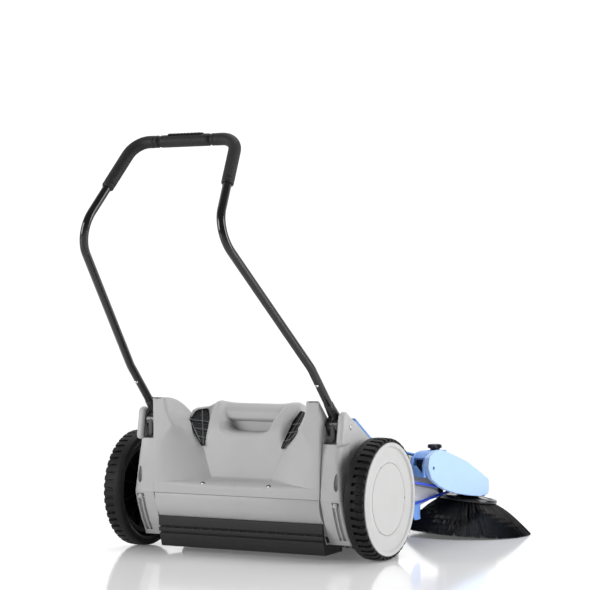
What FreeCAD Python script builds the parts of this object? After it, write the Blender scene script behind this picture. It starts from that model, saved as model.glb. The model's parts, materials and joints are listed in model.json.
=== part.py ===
import FreeCAD, Part
import math
import os

# Walk-behind push sweeper. Millimetres. The machine is drawn with X to the operator's right, Y forward,
# Z up and the ground under the wheel axle at zero, and is moved at the end so that the origin is at the
# middle of its footprint.
ORIGIN_X = 46.05
ORIGIN_Y = 163.82

# Driving sizes
WHEEL_R = 155.0            # tyre radius, and the height of the axle
WHEEL_IN = 329.7           # inner face of a tyre
WHEEL_OUT = 383.6          # outer face of a tyre
TREAD_DEPTH = 4.0
TREADS = 46
AXLE_R = 8.0
FRAME_X = 308.0            # outer face of the side frames beside the wheels
WALL = 4.0
INNER_X = 261.0            # outer face of the side walls beside the main roller
HOPPER_X = 244.0
PART_Z = 155.5             # height of the split between the hopper's two shells
ROLLER_Y = 165.0
ROLLER_Z = 119.0
ROLLER_R = 117.5
ROLLER_X = 246.0
CORE_R = 45.0
SHAFT_R = 7.0
FIT = 0.05                 # radial running clearance of shafts and pins
TUBE_R = 11.0
GRIP_R = 15.8
KNUCKLE_X = 267.0
PIVOT_Y = -72.0
PIVOT_Z = 342.0
LEVER_SPAN = (264.0, 278.0)
LEVER_PIN_Y = -91.0
LEVER_PIN_Z = 341.0
LEVER_PIN_R = 1.5
BRUSH_X = 299.0
BRUSH_Y = 670.0
PLATE_Z = 98.0
PLATE_R = 83.0
BRISTLE_R = 180.0
BRISTLE_TILT = 3.5         # the crown is pressed nearly level by the ground
BRUSH_TILT = 7.0
TILT_TOWARDS = (0.8, 0.6)  # the brush leans down to this side, in X and Y
SPINDLE_R = 6.0
ARM_X = 356.0              # outer face of the brush arm
ARM_PIVOT_Y = 322.0
ARM_PIVOT_Z = 210.0
BELT_R = 3.5
DRIVE_R = 59.0             # belt line on the right wheel's pulley
BRUSH_PULLEY_R = 46.0
GROOVE_EASE = 1.6          # room on each side of the belt in its grooves
BRUSH_PULLEY_Z = 117.0
DRIVE_X = 319.5
ROLLER_BELT_X = -319.5
WHEEL_PULLEY_R = 80.0
ROLLER_PULLEY_R = 32.0
FLAT_BELT_T = 3.0
CASTOR_Y = 400.0
CASTOR_R = 32.0
CASTOR_TRAIL = 22.0
KNOB_X = 318.0
KNOB_Y = 410.0
KNOB_Z = 257.0

X = FreeCAD.Vector(1, 0, 0)
Y = FreeCAD.Vector(0, 1, 0)
Z = FreeCAD.Vector(0, 0, 1)


def vec(x, y, z):
    return FreeCAD.Vector(x, y, z)


def box(x0, x1, y0, y1, z0, z1):
    return Part.makeBox(x1 - x0, y1 - y0, z1 - z0, vec(x0, y0, z0))


def rod(start, end, radius):
    axis = end - start
    return Part.makeCylinder(radius, axis.Length, start, axis)


def rod_x(x0, x1, y, z, radius):
    return rod(vec(min(x0, x1), y, z), vec(max(x0, x1), y, z), radius)


def rod_z(x, y, z0, z1, radius):
    return rod(vec(x, y, z0), vec(x, y, z1), radius)


def ring_x(x0, x1, y, z, outer, inner):
    margin = 1.0
    low, high = min(x0, x1), max(x0, x1)
    return rod_x(low, high, y, z, outer).cut(rod_x(low - margin, high + margin, y, z, inner))


def prism_x(outline, x0, x1):
    """A plate across the machine from an outline of (y, z) points."""
    points = [vec(min(x0, x1), y, z) for y, z in outline]
    face = Part.Face(Part.makePolygon(points + points[:1]))
    return face.extrude(vec(abs(x1 - x0), 0, 0))


def prism_y(outline, y0, y1):
    points = [vec(x, y0, z) for x, z in outline]
    face = Part.Face(Part.makePolygon(points + points[:1]))
    return face.extrude(vec(0, y1 - y0, 0))


def prism_z(outline, z0, z1):
    points = [vec(x, y, z0) for x, y in outline]
    face = Part.Face(Part.makePolygon(points + points[:1]))
    return face.extrude(vec(0, 0, z1 - z0))


def fuse(shapes):
    result = shapes[0].multiFuse(shapes[1:]) if len(shapes) > 1 else shapes[0]
    return result.removeSplitter()


def mirrored(shape):
    return shape.mirror(vec(0, 0, 0), X)


def both_sides(shape):
    return Part.Compound([shape, mirrored(shape)])


def rounded(shape, radius, wanted):
    """The shape with its wanted edges rounded, where wanted(edge) picks them."""
    edges = [edge for edge in shape.Edges if wanted(edge)]
    return shape.makeFillet(radius, edges) if edges else shape


def along_x(edge):
    if len(edge.Vertexes) != 2:
        return False
    step = edge.Vertexes[1].Point - edge.Vertexes[0].Point
    return abs(step.y) < 1e-6 and abs(step.z) < 1e-6 and step.Length > 1


def bent_tube(points, bend_radii, radius, inner=0.0):
    """A round tube through the points, each inner one rounded with its bend radius."""
    edges = []
    start = points[0]
    for before, corner, after, bend in zip(points, points[1:], points[2:], bend_radii):
        to_before = (before - corner).normalize()
        to_after = (after - corner).normalize()
        half = to_before.getAngle(to_after) / 2
        reach = bend / math.tan(half)
        arc_start = corner + to_before * reach
        arc_end = corner + to_after * reach
        bisector = (to_before + to_after).normalize()
        centre = corner + bisector * (bend / math.sin(half))
        arc_middle = centre - bisector * bend
        edges.append(Part.makeLine(start, arc_start))
        edges.append(Part.Arc(arc_start, arc_middle, arc_end).toShape())
        start = arc_end
    edges.append(Part.makeLine(start, points[-1]))
    path = Part.Wire(edges)
    first = (points[1] - points[0]).normalize()
    profile = Part.Wire(Part.makeCircle(radius, points[0], first))
    tube = path.makePipeShell([profile], True, True)
    if inner:
        bore = Part.Wire(Part.makeCircle(inner, points[0], first))
        tube = tube.cut(path.makePipeShell([bore], True, True))
    return tube


# ---------------------------------------------------------------- wheels

def tyre():
    shoulder = WHEEL_IN + 14.0
    carcass = ring_x(WHEEL_IN, WHEEL_OUT, 0, WHEEL_R, WHEEL_R - TREAD_DEPTH, 140.0)
    band = ring_x(WHEEL_IN + 3, shoulder, 0, WHEEL_R, WHEEL_R - 0.5, WHEEL_R - TREAD_DEPTH - 2)
    lug = box(shoulder - 1, WHEEL_OUT - 2, -6.4, 6.4, 2 * WHEEL_R - TREAD_DEPTH - 3, 2 * WHEEL_R)
    lugs = []
    for index in range(TREADS):
        turned = lug.copy()
        turned.rotate(vec(0, 0, WHEEL_R), X, 360.0 * index / TREADS)
        lugs.append(turned)
    lugs = [Part.Compound(lugs).common(rod_x(WHEEL_IN, WHEEL_OUT, 0, WHEEL_R, WHEEL_R))]
    return fuse([carcass, band] + [solid for part in lugs for solid in part.Solids])


def rim():
    barrel = ring_x(WHEEL_IN + 2, WHEEL_OUT - 3, 0, WHEEL_R, 140.0, 133.0)
    web = ring_x(WHEEL_IN + 26, WHEEL_IN + 32, 0, WHEEL_R, 134.0, AXLE_R + 6)
    hub = ring_x(WHEEL_IN + 2, WHEEL_IN + 44, 0, WHEEL_R, 30.0, AXLE_R + 6)
    inner_ring = ring_x(WHEEL_IN + 8, WHEEL_IN + 27, 0, WHEEL_R, 112.0, 106.0)
    return fuse([barrel, web, hub, inner_ring])


def wheel_disc():
    """The light cover on the outside: a raised lip, a step, and a dish with a shallow round groove."""
    face = rod_x(WHEEL_OUT - 8, WHEEL_OUT - 4, 0, WHEEL_R, 130.0)
    face = face.cut(ring_x(WHEEL_OUT - 5, WHEEL_OUT, 0, WHEEL_R, 92.5, 91.0))
    lip = ring_x(WHEEL_OUT - 8, WHEEL_OUT + 1.0, 0, WHEEL_R, 132.0, 126.0)
    rim_cover = ring_x(WHEEL_OUT + 0.3, WHEEL_OUT + 2.8, 0, WHEEL_R, 143.0, 126.0)
    return fuse([face, lip, rim_cover])


def wheel_bush():
    return ring_x(WHEEL_IN + 2, WHEEL_IN + 44, 0, WHEEL_R, AXLE_R + 6, AXLE_R + FIT)


def stub_axle():
    """A steel stub with a head inside the frame and a washer outside the hub."""
    shaft = rod_x(FRAME_X - 12, WHEEL_IN + 44.3, 0, WHEEL_R, AXLE_R)
    head = rod_x(FRAME_X - 16, FRAME_X - 12, 0, WHEEL_R, AXLE_R + 6)
    washer = rod_x(WHEEL_IN + 44.3, WHEEL_IN + 45.6, 0, WHEEL_R, AXLE_R + 5)
    return fuse([shaft, head, washer])


def grooved_pulley(centre, axis, radius, bore, width):
    """A pulley for the round belt, its groove a little wider than the belt."""
    side = Y.cross(axis).normalize()
    groove = BELT_R + 0.3 + GROOVE_EASE
    rim = radius + 1.0
    mouth = math.sqrt(groove ** 2 - (GROOVE_EASE - 1.0) ** 2)
    half = width / 2

    def at(out, high):
        return centre + side * out + axis * high

    edges = [Part.makeLine(at(bore, -half), at(rim, -half)), Part.makeLine(at(rim, -half), at(rim, -mouth)),
             Part.Arc(at(rim, -mouth), at(radius + GROOVE_EASE - groove, 0), at(rim, mouth)).toShape(),
             Part.makeLine(at(rim, mouth), at(rim, half)), Part.makeLine(at(rim, half), at(bore, half)),
             Part.makeLine(at(bore, half), at(bore, -half))]
    return Part.Face(Part.Wire(edges)).revolve(centre, axis, 360)


def flat_pulley(x, y, z, radius, bore, width):
    body = ring_x(x - width / 2, x + width / 2, y, z, radius, bore)
    flange = ring_x(x - width / 2, x - width / 2 + 1.2, y, z, radius + 2.5, bore)
    other = ring_x(x + width / 2 - 1.2, x + width / 2, y, z, radius + 2.5, bore)
    return fuse([body, flange, other])


# ---------------------------------------------------------------- chassis

FRAME_TOP = [(-118.0, PART_Z), (-112.0, 262.0), (-94.0, 378.0), (-48.0, 354.5), (39.0, 305.0), (110.0, 272.0)]
FRAME_LOW = [(110.0, 118.0), (52.0, 106.0), (36.0, 68.0), (-38.0, 39.0), (-63.0, 39.0), (-88.0, 78.0), (-106.0, 118.0)]
POCKET = (249.0, 287.0)    # the handle pocket, in X


def side_frame(side):
    """The right frame: rear column, wheel wall and the wall beside the main roller."""
    outer = prism_x(FRAME_TOP + FRAME_LOW, FRAME_X - WALL, FRAME_X)
    forward = prism_x([(106, 272), (200, 262), (341, 236), (350, 170), (106, 165)], FRAME_X - 12, FRAME_X - 8)
    step = box(FRAME_X - 12, FRAME_X, 104, 110, 165, 270)
    column = prism_x([(-118, PART_Z), (-112, 262), (-94, 378), (-62, 362), (-62, 39), (-88, 78), (-106, 118)],
                     HOPPER_X + 2, FRAME_X - 1)
    hollow = prism_x([(-108, 160), (-104, 262), (-98, 290), (-58, 290), (-58, 70), (-84, 84), (-98, 120)],
                     HOPPER_X + 6, FRAME_X - WALL)
    pocket = box(POCKET[0], POCKET[1], -130, 0, 296, 400)
    web = box(INNER_X - 2, FRAME_X - 2, 104, 110, 99, 165).cut(box(300, 330, 90, 130, 90, 108))
    inner = prism_x([(40, 110), (40, 300), (200, 262), (555, 168), (555, 126), (490, 105), (430, 96), (320, 60), (290, 52),
                     (45, 52)], INNER_X - WALL, INNER_X)
    link = box(INNER_X - 2, FRAME_X - 10, 342, 348, 170, 228)
    rib = box(INNER_X - 2, FRAME_X - 2, 44, 50, 215, 262)
    boss = rod_x(FRAME_X - 16, FRAME_X + 1.5, 0, WHEEL_R, 24.0)
    frame = fuse([outer, column.cut(hollow), inner, forward, step, web, rib, boss, link]).cut(pocket)
    frame = frame.cut(rod_x(FRAME_X - 17, FRAME_X + 5, 0, WHEEL_R, AXLE_R))
    frame = frame.cut(rod_x(FRAME_X - 20, FRAME_X - 12, 0, WHEEL_R, AXLE_R + 6))
    bearing_seat = rod_x(INNER_X - 10, INNER_X + 5, ROLLER_Y, ROLLER_Z, 20.0)
    frame = frame.cut(bearing_seat)
    frame = frame.cut(rod_x(POCKET[0] - 8, POCKET[1] + 12, PIVOT_Y, PIVOT_Z, 6.0))
    frame = frame.cut(rod_x(FRAME_X - 14, FRAME_X, ARM_PIVOT_Y, ARM_PIVOT_Z, 5.0))
    if side < 0:
        frame = mirrored(frame)
    return frame


HOOD_LINE = [(-18.0, 357.0), (72.0, 301.0), (200.0, 268.0), (298.0, 253.0), (341.0, 237.0)]


def hood():
    """The blue top cover, wide between the wheels and narrower over the nose."""
    top = [(y, z) for y, z in HOOD_LINE]
    under = [(y, z - WALL) for y, z in reversed(HOOD_LINE)]
    wide = prism_x(top + under, -(FRAME_X - 13), FRAME_X - 13)
    nose_top = [(335.0, 240.0), (430.0, 214.0), (520.0, 190.0), (552.0, 171.0)]
    nose = prism_x(nose_top + [(y, z - WALL) for y, z in reversed(nose_top)], -(INNER_X - 5), INNER_X - 5)
    nose_wall = box(-(INNER_X - 5), INNER_X - 5, 549, 553, 112, 172)
    side = prism_x([(-18, 356), (72, 300), (72, 304 - 40), (-18, 300)], FRAME_X - 13 - WALL, FRAME_X - 13)
    end = box(-(FRAME_X - 13), FRAME_X - 13, 337, 341, 226, 236)
    cover = fuse([wide, nose, nose_wall, end, side, mirrored(side)])
    return cover.cut(box(-HOPPER_X - 2, HOPPER_X + 2, -30, HOPPER_FRONT + 2, 250, 400))


def front_frame():
    """The blue lower nose: a cross wall, a sole plate for the castor and two side legs."""
    wall = box(-(INNER_X - 5), INNER_X - 5, 424, 429, 92, 150)
    sole = box(-(INNER_X - 5), INNER_X - 5, 352, 424, 92, 97)
    leg = box(INNER_X + 0.5, INNER_X + 5, 380, 429, 60, 112)
    foot = box(INNER_X - 6, INNER_X + 5, 424, 429, 60, 92)
    socket = rod_z(0, CASTOR_Y, 84, 124, 15)
    frame = fuse([wall, sole, leg, foot, mirrored(leg), mirrored(foot), socket])
    return frame.cut(rod_z(0, CASTOR_Y, 80, 130, 6 + FIT))


def roller_housing():
    """The arched guide plate over the main roller."""
    reach = INNER_X - 4.3
    arch = ring_x(-reach, reach, ROLLER_Y, ROLLER_Z, ROLLER_R + 12, ROLLER_R + 9)
    keep = prism_x([(ROLLER_Y - 60, 400), (ROLLER_Y + 200, 400), (ROLLER_Y + 200, 66), (ROLLER_Y, ROLLER_Z)],
                   -reach, reach)
    return arch.common(keep)


def front_flap():
    return box(-(INNER_X - 6), INNER_X - 6, 304, 307, 6, 74)


def flap_bar():
    return box(-(INNER_X - 6), INNER_X - 6, 307.2, 311, 56, 74)


def side_skirt():
    return box(INNER_X + 0.2, INNER_X + 3, 48, 296, 6, 64)


def roller_bearing():
    """A flanged bearing between the roller shaft and the side frame."""
    return fuse([ring_x(INNER_X - 6, INNER_X + 4, ROLLER_Y, ROLLER_Z, 20.0, SHAFT_R + FIT),
                 ring_x(INNER_X + 0.3, INNER_X + 4, ROLLER_Y, ROLLER_Z, 26.0, SHAFT_R + FIT)])


ARM_OUTLINE = [(288.5, 214.0), (298.0, 235.0), (330.0, 250.0), (367.5, 256.0), (420.0, 246.0), (544.0, 213.0),
               (640.0, 175.0), (691.0, 154.0), (691.0, 111.0), (630.0, 110.0), (567.0, 117.0), (470.0, 131.0),
               (400.0, 146.0), (361.0, 159.0), (315.0, 183.0)]


def arm_bracket():
    """The blue yoke on the side frame that carries the brush arm."""
    outline = [(290, 186), (290, 222), (352, 250), (376, 252), (376, 244), (352, 240), (352, 186)]
    inner = prism_x(outline, FRAME_X - 7.5, FRAME_X - 2)
    outer = prism_x(outline, FRAME_X + 28, FRAME_X + 34)
    back = box(FRAME_X - 7.5, FRAME_X + 34, 290, 296, 186, 222)
    shelf = box(FRAME_X - 7.5, FRAME_X + 34, 370, KNOB_Y + 24, 246.5, 252.0)
    bridge = box(FRAME_X - 7.5, FRAME_X + 34, 352, 376, 244, 252)
    yoke = fuse([inner, outer, back, shelf, bridge])
    yoke = yoke.cut(rod_x(FRAME_X - 10, ARM_X, ARM_PIVOT_Y, ARM_PIVOT_Z, 5.0))
    return yoke.cut(rod_z(KNOB_X, KNOB_Y, 230, 270, 5 + FIT))


def arm_pin():
    return rod_x(FRAME_X - 12, ARM_X - 1.4, ARM_PIVOT_Y, ARM_PIVOT_Z, 5.0)


def frame_screws():
    """Pan-head screws through the side frames, on both sides."""
    places = [(-67.0, 339.0), (60.0, 262.0), (20.0, 90.0)]
    heads = [rod_x(FRAME_X + 0.02, FRAME_X + 2.4, y, z, 7.0) for y, z in places]
    return Part.Compound(heads + [mirrored(head) for head in heads])


def handle_pins():
    return both_sides(rod_x(POCKET[0] - 2.5, POCKET[1] + 8, PIVOT_Y, PIVOT_Z, 6.0))


# ---------------------------------------------------------------- handle

LOW_KINK = (266.0, -200.0, 489.5)
HIGH_KINK = (197.0, -537.0, 820.0)
CORNER = (147.0, -358.0, 1051.6)
TUBE_END = (267.0, -86.0, 373.0)
GRIP_START = 0.515         # part of the way from the high kink to the corner where the sleeves begin


def between(start, end, part):
    return start + (end - start) * part


def handle_leg(side):
    """One bent side tube, from its knuckle up to the grip sleeve."""
    low, high, corner, end = (vec(side * p[0], p[1], p[2]) for p in (LOW_KINK, HIGH_KINK, CORNER, TUBE_END))
    stop = between(high, corner, GRIP_START)
    return bent_tube([end, low, high, stop], [120.0, 80.0], TUBE_R, TUBE_R - 2)


def bow_points():
    points = []
    for side in (-1, 1):
        high = vec(side * HIGH_KINK[0], HIGH_KINK[1], HIGH_KINK[2])
        corner = vec(side * CORNER[0], CORNER[1], CORNER[2])
        pair = [between(high, corner, GRIP_START + 0.002), corner]
        points += pair if side < 0 else pair[::-1]
    return points


def handle_bow():
    """The top tube that the side tubes run into, inside the grips."""
    return bent_tube(bow_points(), [50.0, 50.0], TUBE_R, TUBE_R - 2)


def grip_sleeves():
    """The full soft sleeve over the bow."""
    start, left, right, end = bow_points()
    outer = bent_tube([start, left, right, end], [50.0, 50.0], GRIP_R)
    return outer.cut(bent_tube([start, left, right, end], [50.0, 50.0], TUBE_R + 0.02))


def grip(part):
    """The sleeve cut into its left, middle and right pieces."""
    split = CORNER[0] - 62
    sleeve = grip_sleeves()
    if part == "middle":
        return sleeve.common(box(-split + 0.3, split - 0.3, -700, 0, 700, 1200))
    side = -1 if part == "left" else 1
    low, high = sorted((side * (split + 0.3), side * 400))
    return sleeve.common(box(low, high, -700, 0, 700, 1200))


def grip_pad():
    return box(-52, 52, CORNER[1] - 8, CORNER[1] + 8, CORNER[2] + GRIP_R - 1.2, CORNER[2] + GRIP_R + 3.4).cut(
        rod_x(-60, 60, CORNER[1], CORNER[2], GRIP_R + 0.02))


def handle_knuckle():
    """The black end piece that holds the tube and turns on the pivot pin."""
    turn = rod_x(POCKET[0] + 0.8, POCKET[1] - 1.0, PIVOT_Y, PIVOT_Z, 25.0)
    low = vec(*LOW_KINK)
    end = vec(*TUBE_END)
    up = (low - end).normalize()
    socket = rod(vec(KNUCKLE_X, PIVOT_Y, PIVOT_Z) + up * 8, end + up * 34, 16.0)
    knuckle = fuse([turn, socket])
    knuckle = knuckle.cut(rod(end, end + up * 60, TUBE_R))
    knuckle = knuckle.cut(rod_x(POCKET[0] - 20, POCKET[1] + 20, PIVOT_Y, PIVOT_Z, 6.0 + FIT))
    knuckle = knuckle.cut(rod_x(LEVER_SPAN[0] - 8, LEVER_SPAN[1] + 7, LEVER_PIN_Y, LEVER_PIN_Z, LEVER_PIN_R))
    lever_room = box(LEVER_SPAN[0] - 1, LEVER_SPAN[1] + 1, PIVOT_Y - 40, PIVOT_Y - 11, PIVOT_Z - 40, PIVOT_Z + 8)
    return knuckle.cut(lever_room)


def lock_lever():
    """The oval release tab on the rear of a knuckle."""
    outline = []
    steps = 20
    for index in range(steps):
        turn = 2 * math.pi * index / steps
        outline.append((LEVER_PIN_Y - 1 + 5.5 * math.cos(turn), LEVER_PIN_Z - 18 + 23.5 * math.sin(turn)))
    tab = prism_x(outline, *LEVER_SPAN)
    return tab.cut(rod_x(LEVER_SPAN[0] - 5, LEVER_SPAN[1] + 5, LEVER_PIN_Y, LEVER_PIN_Z, LEVER_PIN_R + FIT))


def lever_pins():
    return both_sides(rod_x(LEVER_SPAN[0] - 8, LEVER_SPAN[1] + 7, LEVER_PIN_Y, LEVER_PIN_Z, LEVER_PIN_R))


# ---------------------------------------------------------------- hopper

# Half of the upper shell's plan at each height: height, then the rear edge's Y at the centre, the crease's X
# and the rear edge's Y at the outer side.
HOPPER_FRONT = 35.0
UPPER_LEVELS = [
    (PART_Z + 0.4, -118.0, 90.0, -118.0),
    (188.0, -111.0, 90.0, -116.5),
    (198.0, -84.0, 91.0, -116.0),
    (279.0, -72.0, 117.0, -117.0),
    (344.0, -44.0, 172.0, -119.0),
]


def upper_section(height, centre_y, crease_x, outer_y):
    half = [(0.0, centre_y), (crease_x, centre_y), (HOPPER_X, outer_y), (HOPPER_X, HOPPER_FRONT)]
    points = half + [(-x, y) for x, y in reversed(half[1:])]
    points = [vec(x, y, height) for x, y in points]
    return Part.makePolygon(points + points[:1])


def ear(side):
    """A wedge with a ribbed top at the rear outer corner, its inner face scooped towards the vent."""
    rear_out, rear_in = vec(HOPPER_X, -121, 402), vec(213, -121, 402)
    valley, front = vec(174, -40, 344), vec(HOPPER_X, -30, 346)
    base = 330.0
    low = [vec(p.x, p.y, base) for p in (rear_out, rear_in, valley, front)]
    high = [rear_out, rear_in, valley, front]
    faces = [Part.Face(Part.makePolygon(low + low[:1]))]
    for index in range(4):
        after = (index + 1) % 4
        side_loop = [low[index], low[after], high[after], high[index], low[index]]
        faces.append(Part.Face(Part.makePolygon(side_loop)))
    faces.append(Part.Face(Part.makePolygon([rear_out, rear_in, valley, rear_out])))
    faces.append(Part.Face(Part.makePolygon([rear_out, valley, front, rear_out])))
    solid = Part.makeSolid(Part.makeShell(faces))
    return solid if side > 0 else mirrored(solid)


def hopper_upper():
    """The top shell: tapered body, carry grip over its hand recess, and two ears."""
    body = Part.makeLoft([upper_section(*level) for level in UPPER_LEVELS], True, True)
    crown = prism_x([(-44, 344), (-40, 378), (-34, 384), (10, 384), (HOPPER_FRONT, 352), (HOPPER_FRONT, 344)],
                    -130, 130)
    shell = fuse([body, crown, ear(1), ear(-1)])
    room = prism_x([(-108, 150), (-104, 186), (-78, 203), (-66, 270), (-50, 300), (31, 300), (31, 150)],
                   -HOPPER_X + 4, HOPPER_X - 4)
    loft = box(-120, 120, 2, 31, 299, 346)
    mouth = box(-HOPPER_X + 6, HOPPER_X - 6, 30, 40, 150, 240)
    recess = box(-92, 92, -90, -8, 309, 348)
    shell = shell.cut(fuse([room, loft, mouth])).cut(recess)
    for low in (134, -HOPPER_X + 4):
        shell = shell.cut(box(low, low + HOPPER_X - 138, -24, 31, 299, 339))
    for side in (-1, 1):
        shell = shell.cut(vent_solid(side, 0.3, 9.0))
    return shell


VENT_OUTLINE = [(115.0, 284.0), (121.0, 281.0), (171.0, 345.0), (166.0, 366.0), (141.0, 371.0), (123.0, 345.0)]
VENT_SLOPE = 0.62


def vent_solid(side, grow, depth):
    """A slanted plate with the vent's outline, standing 'depth' deep behind the shell's surface."""
    centre_x = sum(x for x, z in VENT_OUTLINE) / len(VENT_OUTLINE)
    centre_z = sum(z for x, z in VENT_OUTLINE) / len(VENT_OUTLINE)
    points = []
    for x, z in VENT_OUTLINE:
        step_x = x - centre_x
        step_z = z - centre_z
        stretch = 1 + grow / math.hypot(step_x, step_z)
        new_z = centre_z + step_z * stretch
        points.append(vec(side * (centre_x + step_x * stretch), -79 + VENT_SLOPE * (new_z - 281), new_z))
    face = Part.Face(Part.makePolygon(points + points[:1]))
    inward = vec(0, 1, -VENT_SLOPE).normalize()
    return face.extrude(inward * depth)


def vent(side):
    return vent_solid(side, 0.0, 4.0)


def hopper_lower():
    """The dirt tray: open at the front towards the roller."""
    outline = [(-117.8, PART_Z), (-114, 130), (-104, 108), (-93.5, 93.2), (-89.5, 60), (-78, 40), (35, 34),
               (35, PART_Z)]
    room = [(-113.8, PART_Z + 5), (-110, 131), (-100, 109), (-89.5, 94), (-85.5, 62), (-75, 44), (40, 38),
            (40, PART_Z + 5)]
    tray = prism_x(outline, -HOPPER_X, HOPPER_X).cut(prism_x(room, -HOPPER_X + 4, HOPPER_X - 4))
    lip = prism_x([(31, 37), (35, 37), (42, 58), (39, 59)], -HOPPER_X, HOPPER_X)
    return fuse([tray, lip])


def dust_filter(side):
    """A flat pleated filter cassette behind each vent, in its own slot under the shell's roof."""
    low, high = sorted((side * 104, side * 206))
    return box(low, high, -38, 26, 270, 290)


def hopper_screws():
    """Rear screws under the ledge and at the tray's corners."""
    heads = []
    for x in (-98.0, 98.0):
        heads.append(rod(vec(x, -116.2, 181), vec(x, -113.8, 181), 4.5))
    return Part.Compound(heads)


def rear_flap():
    """The rubber strip behind the tray, ending just above the ground."""
    outline = [(-98, 93), (-93.6, 93), (-89.6, 60), (-80.5, 12), (-84, 12), (-88, 36), (-94, 58)]
    strip = prism_x(outline, -HOPPER_X, HOPPER_X)
    tray = prism_x([(-93.5, 93.2), (-89.5, 60), (-78, 40), (-60, 40), (-60, 96)], -HOPPER_X - 1, HOPPER_X + 1)
    return strip.cut(tray)


# ---------------------------------------------------------------- main roller

def roller_shaft():
    return rod_x(-INNER_X - 70, INNER_X + 5, ROLLER_Y, ROLLER_Z, SHAFT_R)


def roller_core():
    reach = ROLLER_X - 2
    tube = ring_x(-reach, reach, ROLLER_Y, ROLLER_Z, CORE_R, CORE_R - 4)
    plug = ring_x(reach - 12, reach - 6, ROLLER_Y, ROLLER_Z, CORE_R - 3, SHAFT_R)
    return fuse([tube, plug, mirrored(plug)])


def roller_bristles():
    """Tufts in four chevron rows, each row a band of slanted blocks round the core."""
    rows = 10
    steps = 12
    tufts = []
    width = 2 * ROLLER_X / steps
    for row in range(rows):
        for step in range(steps):
            centre = -ROLLER_X + width * (step + 0.5)
            twist = 360.0 * row / rows + 42.0 * (1 - abs(centre) / ROLLER_X)
            tuft = box(centre - width / 2 + 0.5, centre + width / 2 - 0.5, ROLLER_Y - 6, ROLLER_Y + 6,
                       ROLLER_Z + CORE_R + 3, ROLLER_Z + ROLLER_R - 0.6)
            tuft.rotate(vec(0, ROLLER_Y, ROLLER_Z), X, twist)
            tufts.append(tuft)
    root = ring_x(-ROLLER_X, ROLLER_X, ROLLER_Y, ROLLER_Z, CORE_R + 8, CORE_R)
    return fuse([root] + tufts)


def roller_pulley():
    return flat_pulley(ROLLER_BELT_X, ROLLER_Y, ROLLER_Z, ROLLER_PULLEY_R, SHAFT_R, 12.0)


def wheel_pulley_left():
    return flat_pulley(ROLLER_BELT_X, 0, WHEEL_R, WHEEL_PULLEY_R, AXLE_R + FIT, 12.0)


def belt_loop(y1, z1, r1, y2, z2, r2, x0, x1):
    """The flat open belt round two pulleys whose axes lie along X."""
    def outline(extra):
        first, second = r1 + extra, r2 + extra
        step = vec(0, y2 - y1, z2 - z1)
        heading = math.atan2(step.z, step.y)
        lean = math.acos((first - second) / step.Length)
        shapes = []
        for radius, y, z in ((first, y1, z1), (second, y2, z2)):
            shapes.append(rod_x(x0, x1, y, z, radius))
        corners = []
        for y, z, radius, sign in ((y1, z1, first, 1), (y2, z2, second, 1), (y2, z2, second, -1),
                                   (y1, z1, first, -1)):
            turn = heading + sign * lean
            corners.append((y + radius * math.cos(turn), z + radius * math.sin(turn)))
        shapes.append(prism_x(corners, x0, x1))
        return fuse(shapes)
    return outline(0.3 + FLAT_BELT_T).cut(outline(0.3))


def roller_belt():
    return belt_loop(0, WHEEL_R, WHEEL_PULLEY_R, ROLLER_Y, ROLLER_Z, ROLLER_PULLEY_R,
                     ROLLER_BELT_X - 4.2, ROLLER_BELT_X + 4.2)


# ---------------------------------------------------------------- side brush

BRUSH_AXIS = vec(math.sin(math.radians(BRUSH_TILT)) * TILT_TOWARDS[0],
                 math.sin(math.radians(BRUSH_TILT)) * TILT_TOWARDS[1], math.cos(math.radians(BRUSH_TILT)))
PLATE_CENTRE = vec(BRUSH_X, BRUSH_Y, PLATE_Z)


def on_axis(distance):
    """The point on the brush's axis at this distance above the plate's middle."""
    return PLATE_CENTRE + BRUSH_AXIS * distance


def axis_rod(low, high, radius):
    return rod(on_axis(low), on_axis(high), radius)


def brush_plate():
    plate = axis_rod(-6.5, 6.5, PLATE_R)
    boss = axis_rod(6.0, 11.0, 30.0)
    return fuse([plate, boss]).cut(axis_rod(-20, 30, SPINDLE_R))


def bristle_layer(top_radius, low_radius):
    """A splayed solid from the plate's rim down to a nearly level ring at the bristle tips."""
    lean = math.sin(math.radians(BRISTLE_TILT))
    level = vec(lean * TILT_TOWARDS[0], lean * TILT_TOWARDS[1], math.cos(math.radians(BRISTLE_TILT)))
    top = Part.Wire(Part.makeCircle(top_radius, on_axis(-6.6), BRUSH_AXIS))
    low = Part.Wire(Part.makeCircle(low_radius, vec(BRUSH_X, BRUSH_Y, 9.0), level))
    return Part.makeLoft([top, low], True, True)


def side_bristles():
    """The splayed crown of bristles, pressed flat where it meets the ground."""
    crown = bristle_layer(PLATE_R - 4, BRISTLE_R).cut(bristle_layer(PLATE_R - 30, BRISTLE_R - 62))
    return crown.common(box(-100, 700, 300, 1000, 0.6, 200))


def brush_spindle():
    return axis_rod(-9, 46, SPINDLE_R)


def brush_pulley():
    return grooved_pulley(on_axis(BRUSH_PULLEY_Z - PLATE_Z), BRUSH_AXIS, BRUSH_PULLEY_R, SPINDLE_R, 12.5)


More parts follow.
